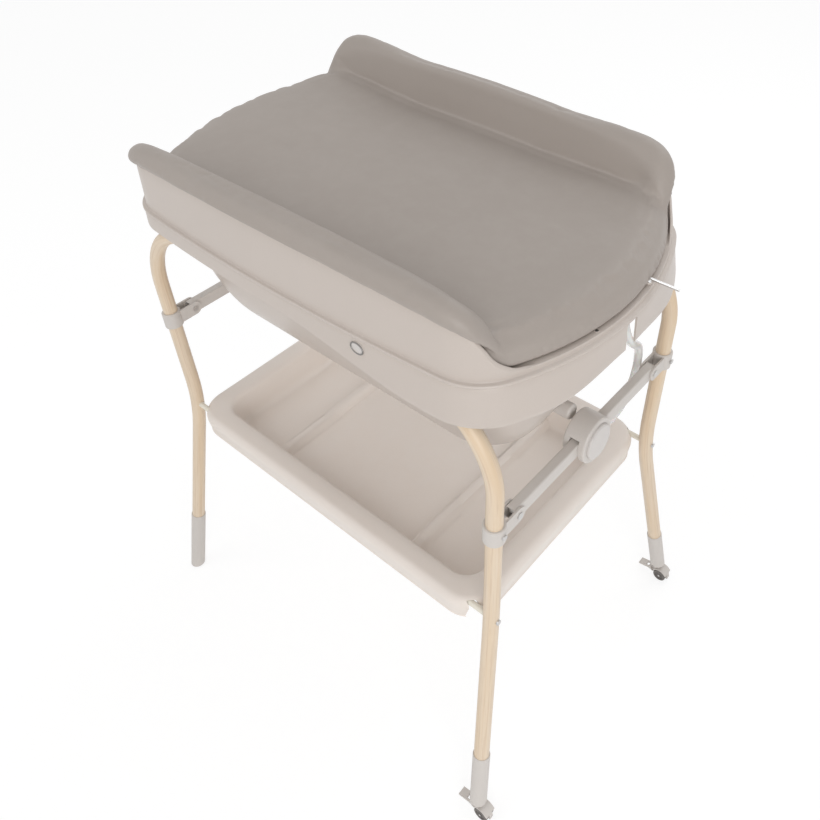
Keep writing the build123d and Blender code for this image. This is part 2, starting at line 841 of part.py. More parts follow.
# Collar on a leg, with two cheeks that hold the end of a brace
cheek_face = arm_width / 2 + cheek_gap
with BuildPart() as collar:
    with BuildSketch(Plane(collar_centre - upper_axis * (collar_height / 2), z_dir=upper_axis)):
        Circle(tube_radius + collar_wall)
    extrude(amount=collar_height)
    chamfer(collar.faces().sort_by(Axis.Z)[-1].edges(), collar_bevel)
    for side in (-1, 1):
        with BuildSketch(Plane.YZ.offset(brace_x + side * cheek_face)):
            with Locations((collar_centre.Y - pivot_reach / 2, brace_height)):
                Rectangle(pivot_reach, cheek_height)
            with Locations((pivot_y, brace_height)):
                Circle(cheek_height / 2)
        extrude(amount=side * cheek_thickness)
    with BuildSketch(Plane(collar_centre - upper_axis * collar_height, z_dir=upper_axis)):
        Circle(tube_radius + running_fit)
    extrude(amount=2 * collar_height, mode=Mode.SUBTRACT)
    with BuildSketch(Plane.YZ.offset(brace_x - 2 * cheek_face)):
        with Locations((pivot_y, brace_height)):
            Circle(pin_radius)
    extrude(amount=4 * cheek_face, mode=Mode.SUBTRACT)
    with BuildSketch(Plane.YZ.offset(brace_x)):
        with Locations((collar_centre.Y, collar_centre.Z)):
            Circle(screw_radius)
    extrude(amount=collar_head_x - brace_x, mode=Mode.SUBTRACT)

# Rivets that the braces turn on at the collars
rivet_reach = cheek_face + cheek_thickness
with BuildPart() as collar_rivets:
    with BuildSketch(Plane.YZ.offset(brace_x - rivet_reach)):
        with Locations((pivot_y, brace_height)):
            Circle(pin_radius)
    extrude(amount=2 * rivet_reach)
    for side in (-1, 1):
        with BuildSketch(Plane.YZ.offset(brace_x + side * rivet_reach)):
            with Locations((pivot_y, brace_height)):
                Circle(pin_head_radius)
        extrude(amount=side * pin_head)
    mirror(about=Plane.YZ)


# Boots on the feet, closed at the bottom for a glide or a caster's stem


def boot_part(bottom):
    """Return the back right-hand boot, cut off level at a height above the floor."""
    with BuildPart() as boot:
        with BuildSketch(Plane(lower_leg_at(-boot_radius), z_dir=lower_axis)):
            Circle(boot_radius)
        extrude(amount=(boot_top_height + boot_radius) / lower_axis.Z)
        fillet(boot.faces().sort_by(Axis.Z)[-1].edges(), boot_round)
        with BuildSketch(Plane(lower_leg_at(tube_end_height), z_dir=lower_axis)):
            Circle(tube_radius + running_fit)
        extrude(amount=boot_top_height, mode=Mode.SUBTRACT)
        with BuildSketch(Plane.XY.offset(bottom)):
            with Locations((foot_x, foot_y)):
                Rectangle(4 * boot_radius, 4 * boot_radius)
        extrude(amount=-boot_top_height, mode=Mode.SUBTRACT)
    return boot.part


glide_place = lower_leg_at(boot_lift)
with BuildPart() as glide:
    with BuildSketch(Plane.XY):
        with Locations((glide_place.X, glide_place.Y)):
            Circle(glide_radius)
    extrude(amount=glide_height)
with BuildPart() as glide_boot:
    add(boot_part(boot_lift))
    add(glide.part, mode=Mode.SUBTRACT)

stem_place = lower_leg_at(caster_boot_height)
with BuildPart() as caster_boot:
    add(boot_part(caster_boot_height))
    with BuildSketch(Plane.XY.offset(caster_boot_height)):
        with Locations((stem_place.X, stem_place.Y)):
            Circle(stem_hole_radius)
    extrude(amount=caster_stem_length + seat_gap, both=True, mode=Mode.SUBTRACT)

# Twin-wheel caster under the back right-hand foot, trailing away from the middle
wheel_x = stem_place.X + caster_trail
wheel_inner = caster_web / 2 + wheel_side_gap
caster_half_width = wheel_inner + wheel_width
hood_inner = wheel_radius + caster_hood_gap
hood_outer = hood_inner + caster_hood_wall
brake_pivot_x = stem_place.X - brake_pivot_back
caster_top = caster_boot_height - seat_gap
with BuildPart() as caster_body:
    with BuildSketch(Plane.XZ.offset(-stem_place.Y)):
        with Locations((wheel_x, wheel_radius)):
            Circle(hood_outer)
            with Locations((0, -hood_outer + hood_cut)):
                Rectangle(2 * hood_outer, 2 * hood_outer, mode=Mode.SUBTRACT)
    extrude(amount=caster_half_width, both=True)
    with BuildSketch(Plane.XY.offset(caster_top)):
        with Locations((stem_place.X, stem_place.Y)):
            Circle(caster_boss)
    extrude(amount=-2 * caster_boss_height)
    for side in (-1, 1):
        with BuildSketch(Plane.XZ.offset(-stem_place.Y - side * caster_web / 2)):
            with Locations((wheel_x, wheel_radius)):
                Circle(hood_inner)
        extrude(amount=-side * caster_half_width, mode=Mode.SUBTRACT)
    with BuildSketch(Plane.XZ.offset(-stem_place.Y)):
        with Locations((wheel_x, wheel_radius)):
            Circle(hood_outer)
            with Locations((0, -hood_outer - web_drop)):
                Rectangle(2 * hood_outer, 2 * hood_outer, mode=Mode.SUBTRACT)
        with Locations((brake_pivot_x, brake_pivot_height)):
            Circle(brake_root_radius)
        with Locations(((brake_pivot_x + wheel_x) / 2, brake_pivot_height)):
            Rectangle(wheel_x - brake_pivot_x, 2 * brake_root_radius)
    extrude(amount=caster_web / 2, both=True)
    with BuildSketch(Plane.XY.offset(caster_top)):
        with Locations((stem_place.X, stem_place.Y)):
            Circle(caster_stem_radius)
    extrude(amount=caster_stem_length)
    with BuildSketch(Plane.XZ.offset(-stem_place.Y)):
        with Locations((wheel_x, wheel_radius)):
            Circle(axle_radius)
        with Locations((brake_pivot_x, brake_pivot_height)):
            Circle(brake_pin_radius)
    extrude(amount=caster_half_width, both=True, mode=Mode.SUBTRACT)


def caster_wheel(side):
    """Return one wheel of the back right-hand caster, on the side given."""
    with BuildPart() as wheel:
        with BuildSketch(Plane.XZ.offset(-stem_place.Y - side * wheel_inner)):
            with Locations((wheel_x, wheel_radius)):
                Circle(wheel_radius)
        extrude(amount=-side * wheel_width)
        fillet(wheel.edges(), tread_round)
        with BuildSketch(Plane.XZ.offset(-stem_place.Y - side * caster_half_width)):
            with Locations((wheel_x, wheel_radius)):
                Circle(wheel_disc_radius)
                Circle(wheel_hub_radius, mode=Mode.SUBTRACT)
        extrude(amount=side * wheel_dish, mode=Mode.SUBTRACT)
        with BuildSketch(Plane.XZ.offset(-stem_place.Y)):
            with Locations((wheel_x, wheel_radius)):
                Circle(axle_radius + running_fit)
        extrude(amount=2 * caster_half_width, both=True, mode=Mode.SUBTRACT)
    return wheel.part


with BuildPart() as caster_pins:
    with BuildSketch(Plane.XZ.offset(-stem_place.Y)):
        with Locations((wheel_x, wheel_radius)):
            Circle(axle_radius)
    extrude(amount=caster_half_width + wheel_side_gap, both=True)
    with BuildSketch(Plane.XZ.offset(-stem_place.Y)):
        with Locations((brake_pivot_x, brake_pivot_height)):
            Circle(brake_pin_radius)
    extrude(amount=brake_width / 2, both=True)

with BuildPart() as brake_lever:
    with BuildSketch(Plane.XZ.offset(-stem_place.Y)):
        with Locations((brake_pivot_x, brake_pivot_height)):
            Circle(brake_root_radius)
            with Locations(Location((0, 0), 180 + brake_slope)):
                with Locations((brake_length / 2, 0)):
                    Rectangle(brake_length, brake_thickness)
            with Locations(Location((0, 0), -brake_nose_drop)):
                with Locations((brake_nose / 2, 0)):
                    Rectangle(brake_nose, brake_nose_thickness)
    extrude(amount=brake_width / 2, both=True)
    with BuildSketch(Plane.XZ.offset(-stem_place.Y)):
        with Locations((brake_pivot_x, brake_pivot_height)):
            Circle(brake_nose + brake_slot_gap)
    extrude(amount=caster_web / 2 + brake_slot_gap, both=True, mode=Mode.SUBTRACT)
    with BuildSketch(Plane.XZ.offset(-stem_place.Y)):
        with Locations((brake_pivot_x, brake_pivot_height)):
            Circle(brake_pin_radius + running_fit)
    extrude(amount=brake_width, both=True, mode=Mode.SUBTRACT)


# Braces: two arms of flat tube that fold about a hub


def arm_part(start, hollow_start):
    """Return an arm from start to its collar rivet, hollow from hollow_start on."""
    end = pivot_y + arm_height / 2
    with BuildPart() as arm:
        with BuildSketch(Plane.XZ.offset(-end)):
            with Locations((brace_x, brace_height)):
                RectangleRounded(arm_width, arm_height, arm_corner)
        extrude(amount=end - start)
        with BuildSketch(Plane.YZ.offset(brace_x - arm_width)):
            with Locations(((start + pivot_y) / 2, brace_height)):
                Rectangle(pivot_y - start, arm_height)
            with Locations((pivot_y, brace_height)):
                Circle(arm_height / 2)
        extrude(amount=2 * arm_width, mode=Mode.INTERSECT)
        with BuildSketch(Plane.XZ.offset(-end)):
            with Locations((brace_x, brace_height)):
                Rectangle(arm_width - 2 * arm_wall, arm_height - 2 * arm_wall)
        extrude(amount=end - hollow_start, mode=Mode.SUBTRACT)
        with BuildSketch(Plane.YZ.offset(brace_x - arm_width)):
            with Locations((pivot_y, brace_height)):
                Circle(pin_radius + running_fit)
        extrude(amount=2 * arm_width, mode=Mode.SUBTRACT)
    return arm.part


fixed_arm = arm_part(hub_arm_start, hub_arm_start)
with BuildPart() as turning_arm:
    add(arm_part(0, hub_solid_reach))
    with BuildSketch(Plane.YZ.offset(brace_x - arm_width / 2)):
        with Locations((0, brace_height)):
            Circle(arm_height / 2)
    extrude(amount=arm_width)
    with BuildSketch(Plane.YZ.offset(brace_x - arm_width)):
        with Locations((0, brace_height)):
            Circle(hub_pin_radius + running_fit)
    extrude(amount=2 * arm_width, mode=Mode.SUBTRACT)

# Hub housing on the back arm: two round cheeks, bridged above and open below for the fold
hub_slot = arm_width / 2 + hub_slot_gap
hub_face_x = brace_x + hub_half_thickness
hub_recess_x = hub_face_x - hub_recess_depth
with BuildPart() as hub_housing:
    with BuildSketch(Plane.YZ.offset(brace_x)):
        with Locations((0, brace_height)):
            Circle(hub_radius)
    extrude(amount=hub_half_thickness, both=True)
    fillet(hub_housing.edges(), hub_edge_round)
    with BuildSketch(Plane.YZ.offset(brace_x)):
        with Locations((0, brace_height)):
            Circle(hub_radius + overrun)
    extrude(amount=hub_slot, both=True, mode=Mode.SUBTRACT)
    with BuildSketch(Plane.YZ.offset(brace_x)):
        with Locations((0, brace_height)):
            Circle(hub_radius)
            Circle(hub_radius - hub_bridge_wall, mode=Mode.SUBTRACT)
            wedge_points = [
                (2 * hub_radius * math.cos(angle), 2 * hub_radius * math.sin(angle))
                for angle in (math.radians(hub_bridge_start), math.radians(hub_bridge_end))
            ]
            Polygon(
                (0, 0), wedge_points[0], (0, 3 * hub_radius), wedge_points[1],
                align=None, mode=Mode.INTERSECT,
            )
    extrude(amount=hub_slot, both=True)
    with BuildSketch(Plane.YZ.offset(hub_face_x)):
        with Locations((0, brace_height)):
            Circle(hub_mouth_radius)
    extrude(amount=-hub_recess_depth, mode=Mode.SUBTRACT)
    with BuildSketch(Plane.YZ.offset(hub_recess_x)):
        with Locations((0, brace_height)):
            Circle(hub_recess_radius)
    extrude(amount=hub_recess_depth - hub_lip, mode=Mode.SUBTRACT)
    with BuildSketch(Plane.YZ.offset(brace_x - 2 * hub_half_thickness)):
        with Locations((0, brace_height)):
            Circle(hub_pin_radius)
    extrude(amount=4 * hub_half_thickness, mode=Mode.SUBTRACT)

with BuildPart() as hub_pin:
    with BuildSketch(Plane.YZ.offset(brace_x - hub_half_thickness - hub_pin_head)):
        with Locations((0, brace_height)):
            Circle(hub_pin_head_radius)
    extrude(amount=hub_pin_head)
    with BuildSketch(Plane.YZ.offset(brace_x - hub_half_thickness)):
        with Locations((0, brace_height)):
            Circle(hub_pin_radius)
    extrude(amount=hub_recess_x - brace_x + hub_half_thickness)
    with BuildSketch(Plane.YZ.offset(hub_recess_x)):
        with Locations((0, brace_height)):
            Circle(hub_pin_head_radius)
    extrude(amount=hub_pin_head)

with BuildPart() as hub_button:
    with BuildSketch(Plane.YZ.offset(hub_face_x - hub_lip - button_flange)):
        with Locations((0, brace_height)):
            Circle(button_cap_radius)
    extrude(amount=button_flange + hub_lip + button_proud)
    fillet(hub_button.faces().sort_by(Axis.X)[-1].edges(), button_round)
    with BuildSketch(Plane.YZ.offset(hub_face_x - hub_lip - button_flange)):
        with Locations((0, brace_height)):
            Circle(button_flange_radius)
    extrude(amount=button_flange)

# Storage tray: a rolled rim that hangs on the knee rods, and a floor with two raised ribs
rod_top = knee_middle.Z + rod_radius
tray_top = rod_top + seat_gap + tray_wall


def tray_solid(half_length, half_width, corner, depth, draft, shrink, rounding):
    """Return a tapering tray body, drawn in by shrink, with its top edge rounded."""
    with BuildPart() as body:
        for drop, draw_in in ((shrink, 0), (depth, draft)):
            with BuildSketch(Plane.XY.offset(tray_top - drop)):
                RectangleRounded(
                    2 * (half_length - shrink - draw_in),
                    2 * (half_width - shrink - draw_in),
                    corner - shrink,
                )
        loft()
        if rounding:
            fillet(body.faces().sort_by(Axis.Z)[-1].edges(), rounding)
    return body.part


def tray_ribs(floor):
    """Return the two ribs that rise across the tray from a floor's height."""
    with BuildPart() as ribs:
        with BuildSketch(Plane.XZ.offset(-tray_half_width)):
            with BuildLine():
                Polyline(
                    (tray_rib_x - tray_rib_width / 2, floor - overrun),
                    (tray_rib_x - tray_rib_width / 2, floor),
                    (tray_rib_x - tray_rib_crest / 2, floor + tray_rib_height),
                    (tray_rib_x + tray_rib_crest / 2, floor + tray_rib_height),
                    (tray_rib_x + tray_rib_width / 2, floor),
                    (tray_rib_x + tray_rib_width / 2, floor - overrun),
                    close=True,
                )
            make_face()
            mirror(about=Plane.YZ)
        extrude(amount=2 * tray_half_width)
    return ribs.part


bowl_half_length = tray_half_length - tray_rim_width
bowl_half_width = tray_half_width - tray_rim_width
tray_floor = tray_top - tray_floor_depth
with BuildPart() as storage_tray:
    add(
        tray_solid(
            tray_half_length, tray_half_width, tray_corner,
            tray_rim_depth, tray_draft, 0, tray_rim_round,
        )
    )
    add(
        tray_solid(
            tray_half_length, tray_half_width, tray_corner,
            tray_rim_depth + overrun, tray_draft, tray_wall, tray_rim_round - tray_wall,
        ),
        mode=Mode.SUBTRACT,
    )
    with BuildPart(mode=Mode.PRIVATE) as bowl:
        add(
            tray_solid(
                bowl_half_length + tray_wall, bowl_half_width + tray_wall,
                tray_inner_corner + tray_wall, tray_floor_depth + tray_wall,
                tray_floor_draft, 0, 0,
            )
        )
        add(tray_ribs(tray_floor - tray_wall), mode=Mode.SUBTRACT)
    add(bowl.part)
    with BuildPart(mode=Mode.PRIVATE) as bowl_inside:
        add(
            tray_solid(
                bowl_half_length, bowl_half_width, tray_inner_corner,
                tray_floor_depth, tray_floor_draft, 0, 0,
            )
        )
        add(tray_ribs(tray_floor), mode=Mode.SUBTRACT)
    add(bowl_inside.part, mode=Mode.SUBTRACT)
    # Slots in the end skirts for the rods, flared inwards because the rods close in as it lifts
    slot_top = rod_top + seat_gap
    slot_half = rod_radius + tray_slot_gap
    with BuildSketch(Plane.YZ.offset(-tray_half_length)):
        with BuildLine():
            Polyline(
                (knee_middle.Y + slot_half, slot_top),
                (knee_middle.Y + slot_half, slot_top - tray_rim_depth),
                (knee_middle.Y - slot_half - tray_slot_flare, slot_top - tray_rim_depth),
                (knee_middle.Y - slot_half, slot_top),
                close=True,
            )
        make_face()
        mirror(about=Plane.YZ)
    extrude(amount=2 * tray_half_length, mode=Mode.SUBTRACT)
finish(storage_tray.part, "storage_tray")

# Write the stand's pieces, mirrored to their places
for side_y, face_name in face_names.items():
    finish(sided(top_bar.part, 1, side_y), f"{face_name}_top_bar")
    finish(sided(knee_rod.part, 1, side_y), f"{face_name}_knee_rod")
    finish(sided(screws.part, 1, side_y), f"{face_name}_screws")
    finish(sided(collar_rivets.part, 1, side_y), f"{face_name}_collar_rivets")
    finish(sided(glide.part, -1, side_y), f"{face_name}_glide")
    finish(sided(caster_body.part, 1, side_y), f"{face_name}_caster_body")
    finish(sided(caster_wheel(-1), 1, side_y), f"{face_name}_caster_inner_wheel")
    finish(sided(caster_wheel(1), 1, side_y), f"{face_name}_caster_outer_wheel")
    finish(sided(caster_pins.part, 1, side_y), f"{face_name}_caster_pins")
    finish(sided(brake_lever.part, 1, side_y), f"{face_name}_brake_lever")
    for side_x, end_name in end_names.items():
        finish(sided(leg.part, side_x, side_y), f"{face_name}_{end_name}_leg")
        finish(sided(collar.part, side_x, side_y), f"{face_name}_{end_name}_collar")
        boot = glide_boot if side_x < 0 else caster_boot
        finish(sided(boot.part, side_x, side_y), f"{face_name}_{end_name}_boot")
        arm = turning_arm.part if side_y < 0 else fixed_arm
        finish(sided(arm, side_x, side_y), f"{face_name}_{end_name}_arm")
for side_x, end_name in end_names.items():
    finish(sided(hub_housing.part, side_x, 1), f"{end_name}_hub_housing")
    finish(sided(hub_pin.part, side_x, 1), f"{end_name}_hub_pin")
    finish(sided(hub_button.part, side_x, 1), f"{end_name}_hub_button")
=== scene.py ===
"""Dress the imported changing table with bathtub: its meshes, finishes, light and camera."""
import json
import logging
import math
from dataclasses import dataclass, field
from enum import Enum

import bmesh
import bpy
from mathutils import Matrix, Vector
from mathutils.kdtree import KDTree

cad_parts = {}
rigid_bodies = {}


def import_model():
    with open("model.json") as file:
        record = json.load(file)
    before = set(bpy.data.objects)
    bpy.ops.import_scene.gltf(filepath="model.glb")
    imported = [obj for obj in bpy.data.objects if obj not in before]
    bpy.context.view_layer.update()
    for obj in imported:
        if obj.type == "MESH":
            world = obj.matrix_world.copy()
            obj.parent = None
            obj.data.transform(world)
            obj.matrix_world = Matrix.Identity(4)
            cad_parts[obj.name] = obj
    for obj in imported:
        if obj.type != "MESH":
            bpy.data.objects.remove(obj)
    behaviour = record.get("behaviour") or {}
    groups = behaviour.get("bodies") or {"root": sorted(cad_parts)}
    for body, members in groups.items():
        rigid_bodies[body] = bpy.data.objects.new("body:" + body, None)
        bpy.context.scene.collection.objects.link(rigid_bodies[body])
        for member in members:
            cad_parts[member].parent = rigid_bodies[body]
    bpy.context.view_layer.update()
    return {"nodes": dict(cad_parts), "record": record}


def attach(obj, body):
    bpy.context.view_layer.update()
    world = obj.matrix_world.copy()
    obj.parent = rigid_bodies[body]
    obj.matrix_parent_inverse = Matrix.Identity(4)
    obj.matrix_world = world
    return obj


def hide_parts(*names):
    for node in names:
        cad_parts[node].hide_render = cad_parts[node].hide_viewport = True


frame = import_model()

log = logging.getLogger("changing_table")

Colour = tuple[float, float, float]
Outline = list[tuple[float, float]]
Rows = list[tuple[float, float]]
Skin = tuple[list[Vector], list[tuple[int, ...]]]


class Side(Enum):
    """The two faces of the stand, as signs along Y."""

    FRONT = -1
    BACK = 1


class End(Enum):
    """The two ends of the stand, as signs along X."""

    LEFT = -1
    RIGHT = 1


def smooth(share: float) -> float:
    """Return an even S-curve of a share held between 0 and 1."""
    share = min(1.0, max(0.0, share))
    return share * share * (3 - 2 * share)


def ramp(value: float, start: float, reach: float) -> float:
    """Return the S-curve of how far a value has come from its start through its reach."""
    return smooth((value - start) / reach)


def through(rows: Rows, place: float) -> float:
    """Read a smooth curve that passes through a table's rows.

    Args:
        rows: Pairs of place and value, with rising places.
        place: Where to read it; beyond the table it keeps the end's value.

    Returns:
        The value there.
    """
    if place <= rows[0][0]:
        return rows[0][1]
    if place >= rows[-1][0]:
        return rows[-1][1]
    index = max(i for i, row in enumerate(rows[:-1]) if row[0] <= place)
    (x0, y0), (x1, y1) = rows[index], rows[index + 1]
    slope = (y1 - y0) / (x1 - x0)
    before = (y0 - rows[index - 1][1]) / (x0 - rows[index - 1][0]) if index else slope
    after = slope
    if index + 2 < len(rows):
        after = (rows[index + 2][1] - y1) / (rows[index + 2][0] - x1)
    start = 0.0 if before * slope <= 0 else 2 * before * slope / (before + slope)
    end = 0.0 if after * slope <= 0 else 2 * after * slope / (after + slope)
    t = (place - x0) / (x1 - x0)
    run = x1 - x0
    return (
        (2 * t**3 - 3 * t**2 + 1) * y0
        + (t**3 - 2 * t**2 + t) * run * start
        + (3 * t**2 - 2 * t**3) * y1
        + (t**3 - t**2) * run * end
    )


# Finishes


class NodeDesk:
    """Lays out and joins the nodes of one tree."""

    def __init__(self, tree: bpy.types.NodeTree) -> None:
        """Start on a tree.

        Args:
            tree: The material's or group's node tree.
        """
        self.tree = tree

    def add(self, kind: str, **settings: object) -> bpy.types.Node:
        """Add a node and set its properties.

        Args:
            kind: Blender's name of the node type.
            **settings: Properties of the node.

        Returns:
            The node.
        """
        node = self.tree.nodes.new(kind)
        for key, value in settings.items():
            setattr(node, key, value)
        return node

    def join(self, socket: bpy.types.NodeSocket, value: object) -> None:
        """Give an input a plain value, or join another node's output to it.

        Args:
            socket: The input.
            value: A plain value or an output socket.
        """
        if isinstance(value, bpy.types.NodeSocket):
            self.tree.links.new(value, socket)
        else:
            socket.default_value = value

    def feed(self, node: bpy.types.Node, **inputs: object) -> bpy.types.Node:
        """Give a node's inputs, named with underscores, a value or another node's output.

        Args:
            node: The node that takes them.
            **inputs: Values or output sockets by input name.

        Returns:
            The same node.
        """
        for key, value in inputs.items():
            self.join(node.inputs[key.replace("_", " ")], value)
        return node

    def noise(self, vector: bpy.types.NodeSocket, scale: object, detail: float = 3.0,
              rough: float = 0.5) -> bpy.types.NodeSocket:
        """Return a noise texture's factor.

        Args:
            vector: The coordinates it reads.
            scale: Its scale, as a number or a socket.
            detail: How many finer layers it has.
            rough: How strong the finer layers are.

        Returns:
            The factor socket.
        """
        node = self.add("ShaderNodeTexNoise")
        self.feed(node, Vector=vector, Scale=scale, Detail=detail, Roughness=rough)
        return node.outputs["Fac"]

    def spread(self, factor: bpy.types.NodeSocket, low: float, high: float,
               to_low: object = 0.0, to_high: object = 1.0) -> bpy.types.NodeSocket:
        """Map a factor's range onto another.

        Args:
            factor: The value to map.
            low: The factor that gives to_low.
            high: The factor that gives to_high.
            to_low: The lowest result.
            to_high: The highest result.

        Returns:
            The mapped value.
        """
        node = self.add("ShaderNodeMapRange", interpolation_type="SMOOTHSTEP")
        self.feed(node, Value=factor, From_Min=low, From_Max=high, To_Min=to_low, To_Max=to_high)
        return node.outputs["Result"]

    def maths(self, operation: str, first: object, second: object) -> bpy.types.NodeSocket:
        """Return two values joined by an operation.

        Args:
            operation: Blender's name of it.
            first: A number or socket.
            second: A number or socket.

        Returns:
            The result.
        """
        node = self.add("ShaderNodeMath", operation=operation)
        for socket, value in zip(node.inputs, (first, second)):
            self.join(socket, value)
        return node.outputs["Value"]

    def swing(self, factor: bpy.types.NodeSocket, amount: object,
              middle: float = 0.5) -> bpy.types.NodeSocket:
        """Return how far a factor lies from its middle, times an amount."""
        return self.maths("MULTIPLY", self.maths("SUBTRACT", factor, middle), amount)

    def blend(self, factor: object, first: object, second: object) -> bpy.types.NodeSocket:
        """Return two colours mixed.

        Args:
            factor: How much of the second shows.
            first: A colour or socket.
            second: A colour or socket.

        Returns:
            The mixed colour.
        """
        node = self.add("ShaderNodeMix", data_type="RGBA", blend_type="MIX")
        for place, value in ((0, factor), (6, first), (7, second)):
            self.join(node.inputs[place], (*value, 1.0) if isinstance(value, tuple) else value)
        return node.outputs[2]

    def shaded(self, colour: object, value: object) -> bpy.types.NodeSocket:
        """Return a colour made lighter or darker by a value."""
        node = self.add("ShaderNodeHueSaturation")
        return self.feed(node, Color=colour, Value=value).outputs["Color"]

    def stretched(self, vector: bpy.types.NodeSocket, scale: Colour) -> bpy.types.NodeSocket:
        """Return coordinates scaled along X, Y and Z."""
        node = self.add("ShaderNodeMapping")
        return self.feed(node, Vector=vector, Scale=scale).outputs["Vector"]

    def place(self) -> bpy.types.NodeSocket:
        """Return the object's own coordinates."""
        return self.add("ShaderNodeTexCoord").outputs["Object"]

    def seen(self) -> bpy.types.NodeSocket:
        """Return 1 for rays from the eye, through clear pieces or off gloss, and 0 for others.

        Returns:
            The mask's socket.
        """
        rays = self.add("ShaderNodeLightPath").outputs
        direct = self.maths("MAXIMUM", rays["Is Camera Ray"], rays["Is Transmission Ray"])
        return self.maths("MAXIMUM", direct, rays["Is Glossy Ray"])


class Effect(Enum):
    """The surface effects that several finishes share, as node groups."""

    MOULDED = "moulded_face"
    DUST = "settled_dust"
    EDGE = "rubbed_edge"
    GRAIN = "printed_wood_film"
    VINYL = "vinyl_hide"
    DRAWN = "drawn_metal"

    def group(self) -> bpy.types.NodeTree:
        """Return this effect's node group, built the first time it is asked for.

        Returns:
            The group.
        """
        found = bpy.data.node_groups.get(self.value)
        if found:
            return found
        tree = bpy.data.node_groups.new(self.value, "ShaderNodeTree")
        EFFECT_BUILDERS[self](NodeDesk(tree))
        return tree


SKIN_OUTPUTS = ("Colour", "Roughness", "Height")


def sockets(desk: NodeDesk, inputs: dict[str, object],
            outputs: tuple[str, ...] = SKIN_OUTPUTS) -> tuple[object, bpy.types.Node]:
    """Give a group its sockets.

    Args:
        desk: The group's node desk.
        inputs: Default values by name; a tuple makes a colour socket.
        outputs: Names; one that ends in Colour makes a colour socket.

    Returns:
        The sockets that the group is given, by name, and its output node.
    """
    tree = desk.tree
    for name, value in inputs.items():
        kind = "NodeSocketColor" if isinstance(value, tuple) else "NodeSocketFloat"
        socket = tree.interface.new_socket(name=name, in_out="INPUT", socket_type=kind)
        socket.default_value = (*value, 1.0) if isinstance(value, tuple) else value
    for name in outputs:
        kind = "NodeSocketColor" if name.endswith("Colour") else "NodeSocketFloat"
        tree.interface.new_socket(name=name, in_out="OUTPUT", socket_type=kind)
    return tree.nodes.new("NodeGroupInput").outputs, tree.nodes.new("NodeGroupOutput")


def build_moulded(desk: NodeDesk) -> None:
    """Build the face of moulded plastic: flow clouds, fine speckle and a spark-eroded grain.

    Args:
        desk: The group's node desk.
    """
    given, out = sockets(desk, {
        "Colour": (0.8, 0.8, 0.8), "Flow": 0.03, "Speckle": 0.03, "Grain Scale": 900.0,
        "Roughness": 0.4, "Roughness Spread": 0.08,
    })
    place = desk.place()
    grain = desk.noise(place, given["Grain Scale"], detail=2.0)
    lift = desk.swing(desk.noise(place, scale=7.0, detail=2.0), given["Flow"])
    fleck = desk.swing(desk.noise(place, scale=420.0, detail=1.0), given["Speckle"])
    value = desk.maths("ADD", desk.maths("ADD", lift, fleck), 1.0)
    rough = desk.swing(desk.noise(place, scale=23.0, detail=4.0), given["Roughness Spread"])
    desk.feed(out, Colour=desk.shaded(given["Colour"], value), Height=grain,
              Roughness=desk.maths("ADD", given["Roughness"], rough))


def build_dust(desk: NodeDesk, dulling: float = 0.6) -> None:
    """Build a faint dust that settles on upward faces and dulls them.

    Args:
        desk: The group's node desk.
        dulling: How much rougher full dust makes a face.
    """
    given, out = sockets(desk, {
        "Colour": (0.8, 0.8, 0.8), "Roughness": 0.4, "Dust": (0.86, 0.85, 0.83), "Amount": 0.08,
    }, SKIN_OUTPUTS[:2])
    split = desk.add("ShaderNodeSeparateXYZ")
    desk.feed(split, Vector=desk.add("ShaderNodeNewGeometry").outputs["Normal"])
    up = desk.spread(split.outputs["Z"], low=0.55, high=1.0)
    patch = desk.spread(desk.noise(desk.place(), scale=31.0, detail=5.0, rough=0.65),
                        low=0.35, high=0.75)
    mask = desk.maths("MULTIPLY", desk.maths("MULTIPLY", up, patch), given["Amount"])
    desk.feed(out, Colour=desk.blend(mask, given["Colour"], given["Dust"]),
              Roughness=desk.maths("ADD", given["Roughness"],
                                   desk.maths("MULTIPLY", mask, dulling)))


def build_edge(desk: NodeDesk, polish: float = 0.4) -> None:
    """Build edges rubbed lighter and smoother by hands.

    Args:
        desk: The group's node desk.
        polish: How much smoother a fully rubbed edge is.
    """
    given, out = sockets(desk, {"Colour": (0.8, 0.8, 0.8), "Roughness": 0.4, "Amount": 0.1},
                         SKIN_OUTPUTS[:2])
    point = desk.add("ShaderNodeNewGeometry").outputs["Pointiness"]
    worn = desk.spread(desk.noise(desk.place(), scale=55.0, detail=4.0), low=0.35, high=0.7)
    mask = desk.maths("MULTIPLY", desk.spread(point, low=0.52, high=0.6), worn)
    mask = desk.maths("MULTIPLY", mask, given["Amount"])
    desk.feed(out, Colour=desk.blend(mask, given["Colour"], (1.0, 0.99, 0.97)),
              Roughness=desk.maths("SUBTRACT", given["Roughness"],
                                   desk.maths("MULTIPLY", mask, polish)))


